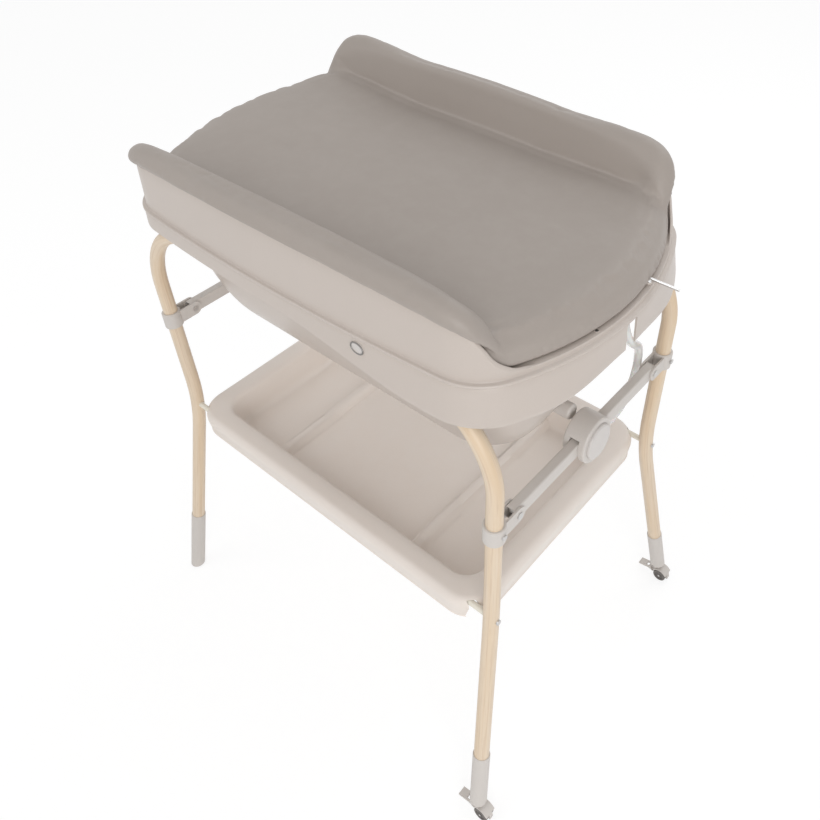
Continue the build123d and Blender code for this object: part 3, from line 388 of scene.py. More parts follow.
def build_grain(desk: NodeDesk) -> None:
    """Build a printed wood film in straightened tube space, with long streaks and pores.

    Args:
        desk: The group's node desk.
    """
    given, out = sockets(desk, {
        "Pale": (0.8, 0.7, 0.6), "Streak": (0.6, 0.45, 0.3), "Warm": (0.8, 0.65, 0.4),
        "Roughness": 0.4,
    })
    place = desk.add("ShaderNodeAttribute", attribute_name="grain").outputs["Vector"]
    wide, thin, pores = (
        desk.noise(desk.stretched(place, (fine, fine, along)), 1.0, detail, rough)
        for fine, along, detail, rough in (
            (70.0, 2.4, 4.0, 0.6), (330.0, 5.0, 3.0, 0.6), (900.0, 26.0, 2.0, 0.5),
        )
    )
    colour = given["Pale"]
    for factor, low, high, most, tint in (
        (wide, 0.38, 0.72, 0.85, "Warm"), (thin, 0.5, 0.78, 0.7, "Streak"),
        (pores, 0.62, 0.75, 0.35, "Streak"),
    ):
        colour = desk.blend(desk.spread(factor, low, high, 0.0, most), colour, given[tint])
    rough = desk.maths("ADD", given["Roughness"], desk.maths("MULTIPLY", thin, 0.1))
    desk.feed(out, Colour=colour, Roughness=rough, Height=pores)


def build_vinyl(desk: NodeDesk) -> None:
    """Build coated fabric: a fine hide grain, soft stretch marks and a cloudy sheen.

    Args:
        desk: The group's node desk.
    """
    given, out = sockets(desk, {
        "Colour": (0.5, 0.5, 0.5), "Roughness": 0.5, "Cell Scale": 520.0, "Cloud": 0.06,
    })
    place = desk.place()
    cells = desk.add("ShaderNodeTexVoronoi", feature="SMOOTH_F1")
    desk.feed(cells, Vector=place, Scale=given["Cell Scale"], Smoothness=0.6)
    pucker = desk.noise(desk.stretched(place, (9.0, 34.0, 34.0)), scale=1.0)
    value = desk.maths("ADD", 1.0, desk.swing(desk.noise(place, scale=5.0), given["Cloud"]))
    height = desk.maths("ADD", desk.maths("MULTIPLY", cells.outputs["Distance"], 0.5),
                        desk.maths("MULTIPLY", pucker, 1.6))
    rough = desk.swing(desk.noise(place, scale=60.0, detail=4.0), amount=0.14)
    desk.feed(out, Colour=desk.shaded(given["Colour"], value), Height=height,
              Roughness=desk.maths("ADD", given["Roughness"], rough))


def build_drawn(desk: NodeDesk) -> None:
    """Build metal drawn or turned: fine lines and faint smudges.

    Args:
        desk: The group's node desk.
    """
    given, out = sockets(desk, {"Colour": (0.7, 0.7, 0.7), "Roughness": 0.3, "Lines": 0.08})
    place = desk.place()
    lines = desk.noise(desk.stretched(place, (40.0, 1500.0, 1500.0)), scale=1.0)
    value = desk.maths("ADD", 1.0, desk.swing(lines, given["Lines"]))
    rough = desk.swing(desk.noise(place, scale=90.0, detail=4.0), amount=0.2, middle=0.4)
    desk.feed(out, Colour=desk.shaded(given["Colour"], value), Height=lines,
              Roughness=desk.maths("ADD", given["Roughness"], rough))


EFFECT_BUILDERS = {
    Effect.MOULDED: build_moulded,
    Effect.DUST: build_dust,
    Effect.EDGE: build_edge,
    Effect.GRAIN: build_grain,
    Effect.VINYL: build_vinyl,
    Effect.DRAWN: build_drawn,
}


@dataclass(frozen=True)
class Finish:
    """What every finish has: a name and the plain settings of its shader."""

    name: str
    bump: float = 0.1
    bump_depth: float = 0.0004
    metallic: float = 0.0
    coat: float = 0.0
    coat_roughness: float = 0.2
    sheen: float = 0.0
    subsurface: float = 0.0
    transmission: float = 0.0

    def material(self) -> bpy.types.Material:
        """Return this finish's material, built the first time it is asked for.

        Returns:
            The material.
        """
        found = bpy.data.materials.get(self.name)
        if found:
            return found
        made = bpy.data.materials.new(self.name)
        made.use_nodes = True
        desk = NodeDesk(made.node_tree)
        shader = made.node_tree.nodes["Principled BSDF"]
        desk.feed(shader, Metallic=self.metallic, Coat_Weight=self.coat,
                  Coat_Roughness=self.coat_roughness, Sheen_Weight=self.sheen,
                  Subsurface_Weight=self.subsurface, Transmission_Weight=self.transmission)
        colour, rough, height = self.surface(desk)
        bump = desk.add("ShaderNodeBump")
        desk.feed(bump, Strength=self.bump, Distance=self.bump_depth, Height=height)
        desk.feed(shader, Base_Color=colour, Roughness=rough, Normal=bump.outputs["Normal"])
        return made

    def effect(self, desk: NodeDesk, which: Effect, **inputs: object) -> list[object]:
        """Place a shared effect in this material.

        Args:
            desk: The material's node desk.
            which: The effect.
            **inputs: Its inputs; colours may be given as three numbers.

        Returns:
            The effect's output sockets: colour, roughness and, where it has one, height.
        """
        node = desk.add("ShaderNodeGroup", node_tree=which.group())
        for key, value in inputs.items():
            inputs[key] = (*value, 1.0) if isinstance(value, tuple) else value
        return list(desk.feed(node, **inputs).outputs)

    def surface(self, desk: NodeDesk) -> tuple[object, object, object]:
        """Return the colour, roughness and height sockets of this finish."""
        raise NotImplementedError


@dataclass(frozen=True)
class MouldedPlastic(Finish):
    """Coloured plastic from a mould."""

    colour: Colour = (0.8, 0.8, 0.8)
    roughness: float = 0.42
    flow: float = 0.03
    speckle: float = 0.03
    dust: float = 0.08
    edge: float = 0.0

    def surface(self, desk: NodeDesk) -> tuple[object, object, object]:
        """Return the sockets of a moulded face, rubbed at its edges and dusty on top.

        Args:
            desk: The material's node desk.

        Returns:
            The sockets.
        """
        colour, rough, height = self.effect(
            desk, Effect.MOULDED, Colour=self.colour, Flow=self.flow, Speckle=self.speckle,
            Roughness=self.roughness,
        )
        if self.edge:
            colour, rough = self.effect(desk, Effect.EDGE, Colour=colour, Roughness=rough,
                                        Amount=self.edge)
        colour, rough = self.effect(desk, Effect.DUST, Colour=colour, Roughness=rough,
                                    Amount=self.dust)
        return colour, rough, height


@dataclass(frozen=True)
class WoodFilm(Finish):
    """Steel tube in a printed wood film."""

    pale: Colour = (0.75, 0.62, 0.475)
    streak: Colour = (0.56, 0.40, 0.27)
    warm: Colour = (0.71, 0.54, 0.36)
    roughness: float = 0.36

    def surface(self, desk: NodeDesk) -> tuple[object, object, object]:
        """Return the sockets of the printed film."""
        return tuple(self.effect(desk, Effect.GRAIN, Pale=self.pale, Streak=self.streak,
                                 Warm=self.warm, Roughness=self.roughness))


@dataclass(frozen=True)
class PadVinyl(Finish):
    """Wipeable coated fabric over foam."""

    colour: Colour = (0.374, 0.328, 0.294)
    roughness: float = 0.5
    dust: float = 0.03

    def surface(self, desk: NodeDesk) -> tuple[object, object, object]:
        """Return the sockets of the cover, with a little dust.

        Args:
            desk: The material's node desk.

        Returns:
            The sockets.
        """
        colour, rough, height = self.effect(desk, Effect.VINYL, Colour=self.colour,
                                            Roughness=self.roughness)
        colour, rough = self.effect(desk, Effect.DUST, Colour=colour, Roughness=rough,
                                    Amount=self.dust)
        return colour, rough, height


@dataclass(frozen=True)
class Metal(Finish):
    """Bare, plated or painted steel."""

    colour: Colour = (0.7, 0.7, 0.7)
    roughness: float = 0.3
    lines: float = 0.08

    def surface(self, desk: NodeDesk) -> tuple[object, object, object]:
        """Return the sockets of drawn or turned metal."""
        return tuple(self.effect(desk, Effect.DRAWN, Colour=self.colour, Lines=self.lines,
                                 Roughness=self.roughness))


TAUPE = MouldedPlastic("taupe_moulding", colour=(0.565, 0.50, 0.452), roughness=0.36, coat=0.06,
                       edge=0.12, bump=0.06)
# Painted light: the tray is the same taupe plastic as the tub and shell; this much lighter, less
# pink copy stands in for the fill light and bounce that reach it.
TRAY_PAINTED_LIGHT = MouldedPlastic("tray_moulding", colour=(0.80, 0.73, 0.672), roughness=0.38, coat=0.05,
                      edge=0.1, bump=0.06)
GREY = MouldedPlastic("grey_moulding", colour=(0.62, 0.58, 0.545), roughness=0.42, bump=0.1,
                      speckle=0.05)
PALE = MouldedPlastic("pale_moulding", colour=(0.63, 0.595, 0.57), roughness=0.34, bump=0.06)
TYRE = MouldedPlastic("tyre_moulding", colour=(0.16, 0.145, 0.135), roughness=0.6, bump=0.2,
                      speckle=0.1, dust=0.25)
GLIDE = MouldedPlastic("glide_rubber_face", colour=(0.25, 0.24, 0.23), roughness=0.75, bump=0.3)
DARK = MouldedPlastic("hole_shade", colour=(0.05, 0.045, 0.04), roughness=0.8, dust=0.0)
HOSE = MouldedPlastic("milky_hose", colour=(0.92, 0.91, 0.89), roughness=0.22, flow=0.08,
                      transmission=0.35, subsurface=0.15, dust=0.03, coat=0.3, bump=0.03)
WOOD = WoodFilm("wood_film", coat=0.12, coat_roughness=0.25, bump=0.05)
VINYL = PadVinyl("pad_vinyl", sheen=0.08, bump=0.25, bump_depth=0.0006)
CREAM = Metal("cream_paint", colour=(0.80, 0.76, 0.66), roughness=0.32, lines=0.02, coat=0.2,
              bump=0.02)
STEEL = Metal("zinc_steel", metallic=1.0, colour=(0.62, 0.61, 0.6), roughness=0.34)
RING = Metal("burnished_ring", metallic=0.9, colour=(0.26, 0.25, 0.24), roughness=0.38)
CHROME = Metal("bright_wire", metallic=1.0, colour=(0.78, 0.78, 0.78), roughness=0.12,
               lines=0.03, bump=0.02)


# Making meshes

SAME_POINT = 1e-6


def placed(name: str, data: bpy.types.ID) -> bpy.types.Object:
    """Return a new object that shows a mesh, curve, lamp or camera.

    Args:
        name: The object's name.
        data: What it shows.

    Returns:
        The object.
    """
    made = bpy.data.objects.new(name, data)
    bpy.context.scene.collection.objects.link(made)
    return made


def dress(made: bpy.types.Object, material: bpy.types.Material) -> None:
    """Give an object one material in place of any it has."""
    made.data.materials.clear()
    made.data.materials.append(material)


def piece(name: str, points: list[Vector], faces: list[tuple[int, ...]], body: str,
          finish: Finish, slot: str) -> bpy.types.Object:
    """Make a smooth-shaded piece that rides on a body.

    Args:
        name: The piece's name.
        points: Its vertices.
        faces: Its faces, as vertex numbers.
        body: The body it rides on.
        finish: Its finish.
        slot: Not used; the record's material slot of its finish.

    Returns:
        The piece.
    """
    mesh = bpy.data.meshes.new(name)
    mesh.from_pydata([tuple(point) for point in points], [], faces)
    made = placed(name, mesh)
    outward(made)
    return settle(made, body, finish)


def settle(made: bpy.types.Object, body: str, finish: Finish) -> bpy.types.Object:
    """Give a piece its finish and its body.

    Args:
        made: The piece.
        body: The body it rides on.
        finish: Its finish.

    Returns:
        The piece.
    """
    dress(made, finish.material())
    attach(made, body)
    return made


def outward(made: bpy.types.Object) -> None:
    """Turn a mesh's faces outward and shade them smooth.

    Args:
        made: The piece.
    """
    work = bmesh.new()
    work.from_mesh(made.data)
    bmesh.ops.remove_doubles(work, verts=work.verts, dist=SAME_POINT)
    bmesh.ops.recalc_face_normals(work, faces=work.faces)
    for face in work.faces:
        face.smooth = True
    work.to_mesh(made.data)
    work.free()


def apply_modifiers(made: bpy.types.Object) -> None:
    """Replace a piece's mesh by what its modifiers give.

    Args:
        made: The piece.
    """
    graph = bpy.context.evaluated_depsgraph_get()
    made.update_tag()
    graph.update()
    mesh = bpy.data.meshes.new_from_object(made.evaluated_get(graph), depsgraph=graph)
    made.modifiers.clear()
    made.data = mesh


def ring_faces(first: int, second: int, count: int) -> list[tuple[int, ...]]:
    """Return the faces between two rings of as many points.

    Args:
        first: The first ring's first vertex number.
        second: The second ring's first vertex number.
        count: How many points each ring has.

    Returns:
        The faces.
    """
    return [
        (first + i, first + (i + 1) % count, second + (i + 1) % count, second + i)
        for i in range(count)
    ]


def lofted(rings: list[list[Vector]]) -> Skin:
    """Join rings into a closed skin, with its first and last ring capped.

    Args:
        rings: Rings of as many points each.

    Returns:
        The points and the faces.
    """
    count = len(rings[0])
    points = [point for ring in rings for point in ring]
    faces = [
        face for index in range(len(rings) - 1)
        for face in ring_faces(index * count, (index + 1) * count, count)
    ]
    faces.append(tuple(range(count)))
    last = (len(rings) - 1) * count
    faces.append(tuple(range(last, last + count)))
    return points, faces


def looped(rings: list[list[Vector]]) -> Skin:
    """Join rings into a closed skin whose last ring meets its first.

    Args:
        rings: Rings of as many points each.

    Returns:
        The points and the faces.
    """
    count = len(rings[0])
    faces = [
        face for index in range(len(rings))
        for face in ring_faces(index * count, (index + 1) % len(rings) * count, count)
    ]
    return [point for ring in rings for point in ring], faces


def turned(profile: Rows, centre: Vector, axis: Vector,
           steps: int = 48) -> list[list[Vector]]:
    """Return the rings of a profile turned about an axis.

    Args:
        profile: Pairs of radius and distance along the axis.
        centre: Where the distance is zero.
        axis: The axis's direction.
        steps: How many points a ring has.

    Returns:
        The rings.
    """
    turn = axis.to_track_quat("Z", "Y").to_matrix()
    return [
        [
            centre + turn @ Vector((
                radius * math.cos(2 * math.pi * i / steps),
                radius * math.sin(2 * math.pi * i / steps), along,
            ))
            for i in range(steps)
        ]
        for radius, along in profile
    ]


def quarter_mirrored(quarter: Outline) -> Outline:
    """Return a closed outline from its first quarter, which runs from +X round to +Y."""
    half = quarter + [(-x, y) for x, y in reversed(quarter[:-1])]
    return half + [(x, -y) for x, y in reversed(half[1:-1])]


def arc_points(centre: tuple[float, float], radius: float, start: float, end: float,
               steps: int) -> Outline:
    """Return points along an arc, its end left out.

    Args:
        centre: The arc's centre.
        radius: Its radius.
        start: Its first angle.
        end: Its last angle.
        steps: How many points.

    Returns:
        The points.
    """
    return [
        (centre[0] + radius * math.cos(start + (end - start) * i / steps),
         centre[1] + radius * math.sin(start + (end - start) * i / steps))
        for i in range(steps)
    ]


@dataclass(frozen=True)
class BulgedPlan:
    """A plan with bulged sides and ends joined by round corners."""

    half_length: float = 0.428
    half_width: float = 0.259
    end_bulge: float = 0.075
    side_bulge: float = 0.015
    corner: float = 0.09
    steps: tuple[int, int, int] = (24, 20, 44)

    def outline(self, inset: float) -> Outline:
        """Return the plan drawn in by inset, counter-clockwise from +X.

        Args:
            inset: How far it is drawn in.

        Returns:
            Its points.
        """
        length, width = self.half_length - inset, self.half_width - inset
        corner_x, corner_y = length - self.end_bulge, width - self.side_bulge
        side_radius = (corner_x**2 + self.side_bulge**2) / (2 * self.side_bulge)
        end_radius = (corner_y**2 + self.end_bulge**2) / (2 * self.end_bulge)
        side = Vector((0, width - side_radius))
        end = Vector((length - end_radius, 0))
        fillet = self.corner - inset
        gap = end - side
        near, far = side_radius - fillet, end_radius - fillet
        along = (near**2 - far**2 + gap.length**2) / (2 * gap.length)
        across = math.sqrt(max(0.0, near**2 - along**2))
        unit = gap.normalized()
        centre = side + unit * along + Vector((unit.y, -unit.x)) * across
        first = math.atan2(*reversed(centre - end))
        second = math.atan2(*reversed(centre - side))
        return quarter_mirrored(
            arc_points(tuple(end), end_radius, 0, first, self.steps[0])
            + arc_points(tuple(centre), fillet, first, second, self.steps[1])
            + arc_points(tuple(side), side_radius, second, math.pi / 2, self.steps[2])
            + [(0.0, width)]
        )


@dataclass(frozen=True)
class RoundedPlan:
    """A rectangle with round corners."""

    half_length: float
    half_width: float
    corner: float
    steps: tuple[int, int, int] = (24, 20, 44)

    def outline(self, inset: float = 0.0) -> Outline:
        """Return the plan drawn in by inset, counter-clockwise from +X.

        Args:
            inset: How far it is drawn in.

        Returns:
            Its points.
        """
        length, width = self.half_length - inset, self.half_width - inset
        corner = max(0.0005, min(self.corner - inset, width - 0.0001))
        centre = (length - corner, width - corner)
        end = [(length, centre[1] * i / self.steps[0]) for i in range(self.steps[0])]
        side = [(centre[0] * (1 - i / self.steps[2]), width) for i in range(self.steps[2])]
        return quarter_mirrored(
            end + arc_points(centre, corner, 0, math.pi / 2, self.steps[1]) + side + [(0.0, width)]
        )


# The hose and the other pieces of the drain


@dataclass
class DrainHose:
    """The drain hose, from the spigot round its loop and up to the clip under the rim."""

    diameter: float = 0.014
    length: float = 0.577
    route: tuple[tuple[float, float, float], ...] = (
        (0.3355, 0.0081, 0.6524),
        (0.3395, 0.0330, 0.6170),
        (0.3410, 0.0680, 0.5760),
        (0.3410, 0.1130, 0.5490),
        (0.3410, 0.1640, 0.5600),
        (0.3410, 0.1950, 0.6020),
        (0.3450, 0.1910, 0.6530),
        (0.3580, 0.1600, 0.6970),
        (0.3730, 0.1120, 0.7380),
        (0.3840, 0.0720, 0.7840),
        (0.3960, 0.0380, 0.8340),
        (0.3980, 0.0260, 0.8680),
    )

    def build(self) -> None:
        curve = bpy.data.curves.new("hose_run", "CURVE")
        curve.dimensions = "3D"
        spline = curve.splines.new("NURBS")
        spline.points.add(len(self.route) - 1)
        for point, place in zip(spline.points, self.route):
            point.co = (*place, 1.0)
        spline.order_u = 3
        spline.use_endpoint_u = True
        spline.resolution_u = 12
        curve.bevel_depth = self.diameter / 2
        curve.bevel_resolution = 6
        curve.use_fill_caps = True
        hose = placed("hose_run", curve)
        curve.materials.append(HOSE.material())
        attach(hose, "tub")
        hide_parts("drain_hose")


# The stand


@dataclass
class TubeRoute:
    """The centreline of a bent tube, sampled along its runs and arcs."""

    corners: list[Vector]
    bends: list[float]
    pitch: float = 0.006

    def samples(self) -> list[Vector]:
        """Return points along the centreline, with its corners rounded.

        Returns:
            The points.
        """
        line = [self.corners[0]]
        for index, bend in enumerate(self.bends, start=1):
            corner = self.corners[index]
            back = (self.corners[index - 1] - corner).normalized()
            on = (self.corners[index + 1] - corner).normalized()
            half = back.angle(on) / 2
            start = corner + back * (bend / math.tan(half))
            centre = corner + (back + on).normalized() * (bend / math.sin(half))
            turn = math.pi - 2 * half
            axis = (start - centre).cross(-back).normalized()
            steps = max(8, int(bend * turn / self.pitch))
            line += self.straight(line[-1], start)
            line += [
                centre + Matrix.Rotation(turn * i / steps, 3, axis) @ (start - centre)
                for i in range(1, steps + 1)
            ]
        return line + self.straight(line[-1], self.corners[-1])

    def straight(self, start: Vector, end: Vector) -> list[Vector]:
        """Return points from after start up to end."""
        steps = max(1, int((end - start).length / (6 * self.pitch)))
        return [start.lerp(end, i / steps) for i in range(1, steps + 1)]


@dataclass
class StandTubes:
    """The four bent legs and the two bars under the rim."""

    foot: tuple[float, float] = (0.388, 0.300)
    knee: Colour = (0.3595, 0.2195, 0.430)
    shoulder: Colour = (0.382, 0.2295, 0.858)
    start_height: float = 0.046
    knee_bend: float = 0.5
    shoulder_bend: float = 0.145
    shoulder_reach: float = 0.172
    radius: float = 0.0125
    wall: float = 0.0015
    bar_gap: float = 0.0002
    steps: int = 40

    def build(self) -> None:
        """Sweep every leg and bar."""
        for side in Side:
            body = f"{side.name.lower()}_frame"
            for end in End:
                node = f"{side.name.lower()}_{end.name.lower()}_leg"
                line = TubeRoute(self.leg_corners(end, side),
                                 [self.knee_bend, self.shoulder_bend]).samples()
                self.tube(f"{node}_tube", line, body, node)
            reach = self.shoulder[0] - self.shoulder_reach - self.bar_gap
            bar_y = side.value * self.shoulder[1]
            ends = [Vector((x, bar_y, self.shoulder[2])) for x in (-reach, reach)]
            node = f"{side.name.lower()}_top_bar"
            self.tube(f"{node}_tube", TubeRoute(ends, []).samples(), body, node)

    def leg_corners(self, end: End, side: Side) -> list[Vector]:
        """Return the corners of one leg's centreline.

        Args:
            end: The end of the stand.
            side: The face of the stand.

        Returns:
            The corners, from the foot up.
        """
        foot = Vector((*self.foot, 0.0))
        knee, shoulder = Vector(self.knee), Vector(self.shoulder)
        start = foot.lerp(knee, self.start_height / knee.z)
        inner = Vector((shoulder.x - self.shoulder_reach, shoulder.y, shoulder.z))
        flip = Vector((end.value, side.value, 1))
        return [corner * flip for corner in (start, knee, shoulder, inner)]

    def tube(self, name: str, line: list[Vector], body: str, node: str) -> None:
        """Sweep one hollow tube along a line, with grain coordinates on its points.

        Args:
            name: The piece's name.
            line: The centreline.
            body: The body it rides on.
            node: The node it replaces.
        """
        outer, inner, places = [], [], []
        across = Vector((0, 1, 0))
        travelled = 0.0
        for index, point in enumerate(line):
            tangent = line[min(index + 1, len(line) - 1)] - line[max(index - 1, 0)]
            tangent.normalize()
            across = (across - tangent * across.dot(tangent)).normalized()
            other = tangent.cross(across)
            if index:
                travelled += (point - line[index - 1]).length
            for ring, radius in ((outer, self.radius), (inner, self.radius - self.wall)):
                ring.append([
                    point + (across * math.cos(angle) + other * math.sin(angle)) * radius
                    for angle in (2 * math.pi * i / self.steps for i in range(self.steps))
                ])
            places.append(travelled)
        made = piece(name, *looped(outer + inner[::-1]), body, WOOD, "wood_tube")
        self.write_grain(made, line, places)
        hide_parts(node)

    def write_grain(self, made: bpy.types.Object, line: list[Vector],
                    places: list[float]) -> None:
        """Write straightened tube coordinates on a swept tube's points.

        Args:
            made: The tube.
            line: Its centreline.
            places: How far each of the line's points lies along it.
        """
        grain = made.data.attributes.new("grain", "FLOAT_VECTOR", "POINT")
        offset = 3.1 * sum(ord(letter) for letter in made.name) % 7
        flat = []
        rings = len(line)
        for index in range(2 * rings):
            row = index if index < rings else 2 * rings - 1 - index
            radius = self.radius if index < rings else self.radius - self.wall
            for i in range(self.steps):
                angle = 2 * math.pi * i / self.steps
                flat += [radius * math.cos(angle) + offset, radius * math.sin(angle), places[row]]
        grain.data.foreach_set("vector", flat)


# The moulded shells


def ring_at(plan: BulgedPlan | RoundedPlan, inset: float, height: object) -> list[Vector]:
    """Return a plan's outline at a height.

    Args:
        plan: The plan.
        inset: How far it is drawn in.
        height: A height, or a function that gives it from x and y.

    Returns:
        The ring's points.
    """
    return [
        Vector((x, y, height(x, y) if callable(height) else height))
        for x, y in plan.outline(inset)
    ]


def shrunk(outline: Outline, share: float, height: float) -> list[Vector]:
    """Return an outline at a height, drawn towards the middle to a share of its size."""
    return [Vector((x * share, y * share, height)) for x, y in outline]


@dataclass
class ChangerShell:
    """The changer's shell: a wall that swoops down at its ends, a bead and a deck."""

    plan: BulgedPlan = field(default_factory=BulgedPlan)
    base: float = 0.8863
    inset: float = 0.004
    wall: float = 0.0035
    deck_top: float = 0.899
    deck: float = 0.004
    bead_height: float = 0.005
    bead_proud: float = 0.0015
    bead_round: float = 0.0018
    lip_round: float = 0.00175
    lip_steps: int = 6
    foot: float = 0.003
    deck_fillet: float = 0.002
    line_round: float = 0.0008
    edge_inset: float = 0.05
    middle_span: float = 0.42
    wall_rows: tuple[tuple[float, float], ...] = (
        (0.0, 0.9885), (0.16, 0.9865), (0.257, 0.9764), (0.294, 0.974), (0.325, 0.9695),
        (0.346, 0.955), (0.355, 0.940), (0.361, 0.925), (0.369, 0.912), (0.377, 0.9025),
        (0.396, 0.899),
    )
    peg_hole: tuple[float, float] = (0.412, -0.064)
    peg_boss: tuple[float, float] = (0.412, 0.064)

    def wall_top(self, x: float) -> float:
        """Return the wall's top at a place along the shell."""
        return through(list(self.wall_rows), abs(x))

    def build(self) -> None:
        """Loft the shell and add the boss and the hole at its drain end."""
        bead, inner = self.bead_height, self.inset + self.wall
        proud, soft = -self.bead_proud, self.bead_round
        deck_under = self.deck_top - self.deck
        fillet, line = self.deck_fillet, self.line_round
        rows: list[tuple[float, object]] = [
            (0.3, deck_under), (self.edge_inset, deck_under), (inner + fillet, deck_under),
            (inner, deck_under - fillet), (inner, self.base),
            (proud + soft, self.base), (proud + 0.3 * soft, self.base + 0.25 * soft),
            (proud, self.base + soft), (proud, self.base + bead - soft),
            (proud + 0.3 * soft, self.base + bead - 0.3 * soft), (proud + soft, self.base + bead),
            (self.inset - line, self.base + bead), (self.inset, self.base + bead + line),
            (self.inset, self.base + bead + self.foot),
        ]
        lip = self.lip_round
        rise = self.base + bead + self.foot
        for share in (0.25, 0.5, 0.75, 1.0):
            rows.append((self.inset, lambda x, y, s=share: rise + s * (
                max(rise + 0.001, self.wall_top(x) - lip) - rise)))
        for step in range(1, self.lip_steps):
            angle = math.pi * step / self.lip_steps
            rows.append((
                self.inset + lip - lip * math.cos(angle),
                lambda x, y, a=angle: max(self.deck_top, self.wall_top(x) - lip)
                + (lip * math.sin(a) if self.wall_top(x) > self.deck_top + lip else 0.0),
            ))
        rows += [
            (inner, lambda x, y: max(self.deck_top, self.wall_top(x) - lip)),
            (inner, lambda x, y: max(self.deck_top, min(self.deck_top + self.foot,
                                                        self.wall_top(x) - lip))),
            (inner + self.foot, self.deck_top), (self.edge_inset, self.deck_top),
            (0.25, self.deck_top),
        ]
        rings = [self.clipped_ring(inset, height) for inset, height in rows]
        shell = piece("changer_moulding", *lofted(rings), "changer", TAUPE, "taupe_plastic")
        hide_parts("changer_shell")
        self.add_boss()
        self.add_hole()

    def clipped_ring(self, inset: float, height: object) -> list[Vector]:
        """Return a ring, shrunk about the middle where it lies deep in the plan.

        Args:
            inset: How far it is drawn in.
            height: A height, or a function that gives it from x and y.

        Returns:
            The ring's points.
        """
        if inset <= self.edge_inset:
            return ring_at(self.plan, inset, height)
        return shrunk(self.plan.outline(self.edge_inset), 1 - inset / self.middle_span, height)

    def add_boss(self) -> None:
        """Add the raised boss that the wire peg turns on."""
        profile = [(0.0023, 0.0), (0.0045, 0.0), (0.0044, 0.0024), (0.0038, 0.003),
                   (0.0026, 0.003), (0.0023, 0.0026)]
        rings = turned(profile, Vector((*self.peg_boss, self.deck_top)), Vector((0, 0, 1)), 32)
        piece("peg_boss", *looped(rings), "changer", TAUPE, "taupe_plastic")

    def add_hole(self) -> None:
        """Add the rim and the dark bottom of the spare peg hole."""
        centre = Vector((*self.peg_hole, self.deck_top))
        profile = [(0.0036, -0.0001), (0.0036, 0.0004), (0.0032, 0.0007), (0.0026, 0.0005),
                   (0.0023, 0.0001)]
        rings = turned(profile, centre, Vector((0, 0, 1)), 28)
        piece("spare_hole_rim", *lofted(rings), "changer", TAUPE, "taupe_plastic")
        rings = turned([(0.0022, 0.0), (0.0022, 0.0006), (0.0008, 0.0006)], centre,
                       Vector((0, 0, 1)), 28)
        piece("spare_hole_shade", *lofted(rings), "changer", DARK, "taupe_plastic")


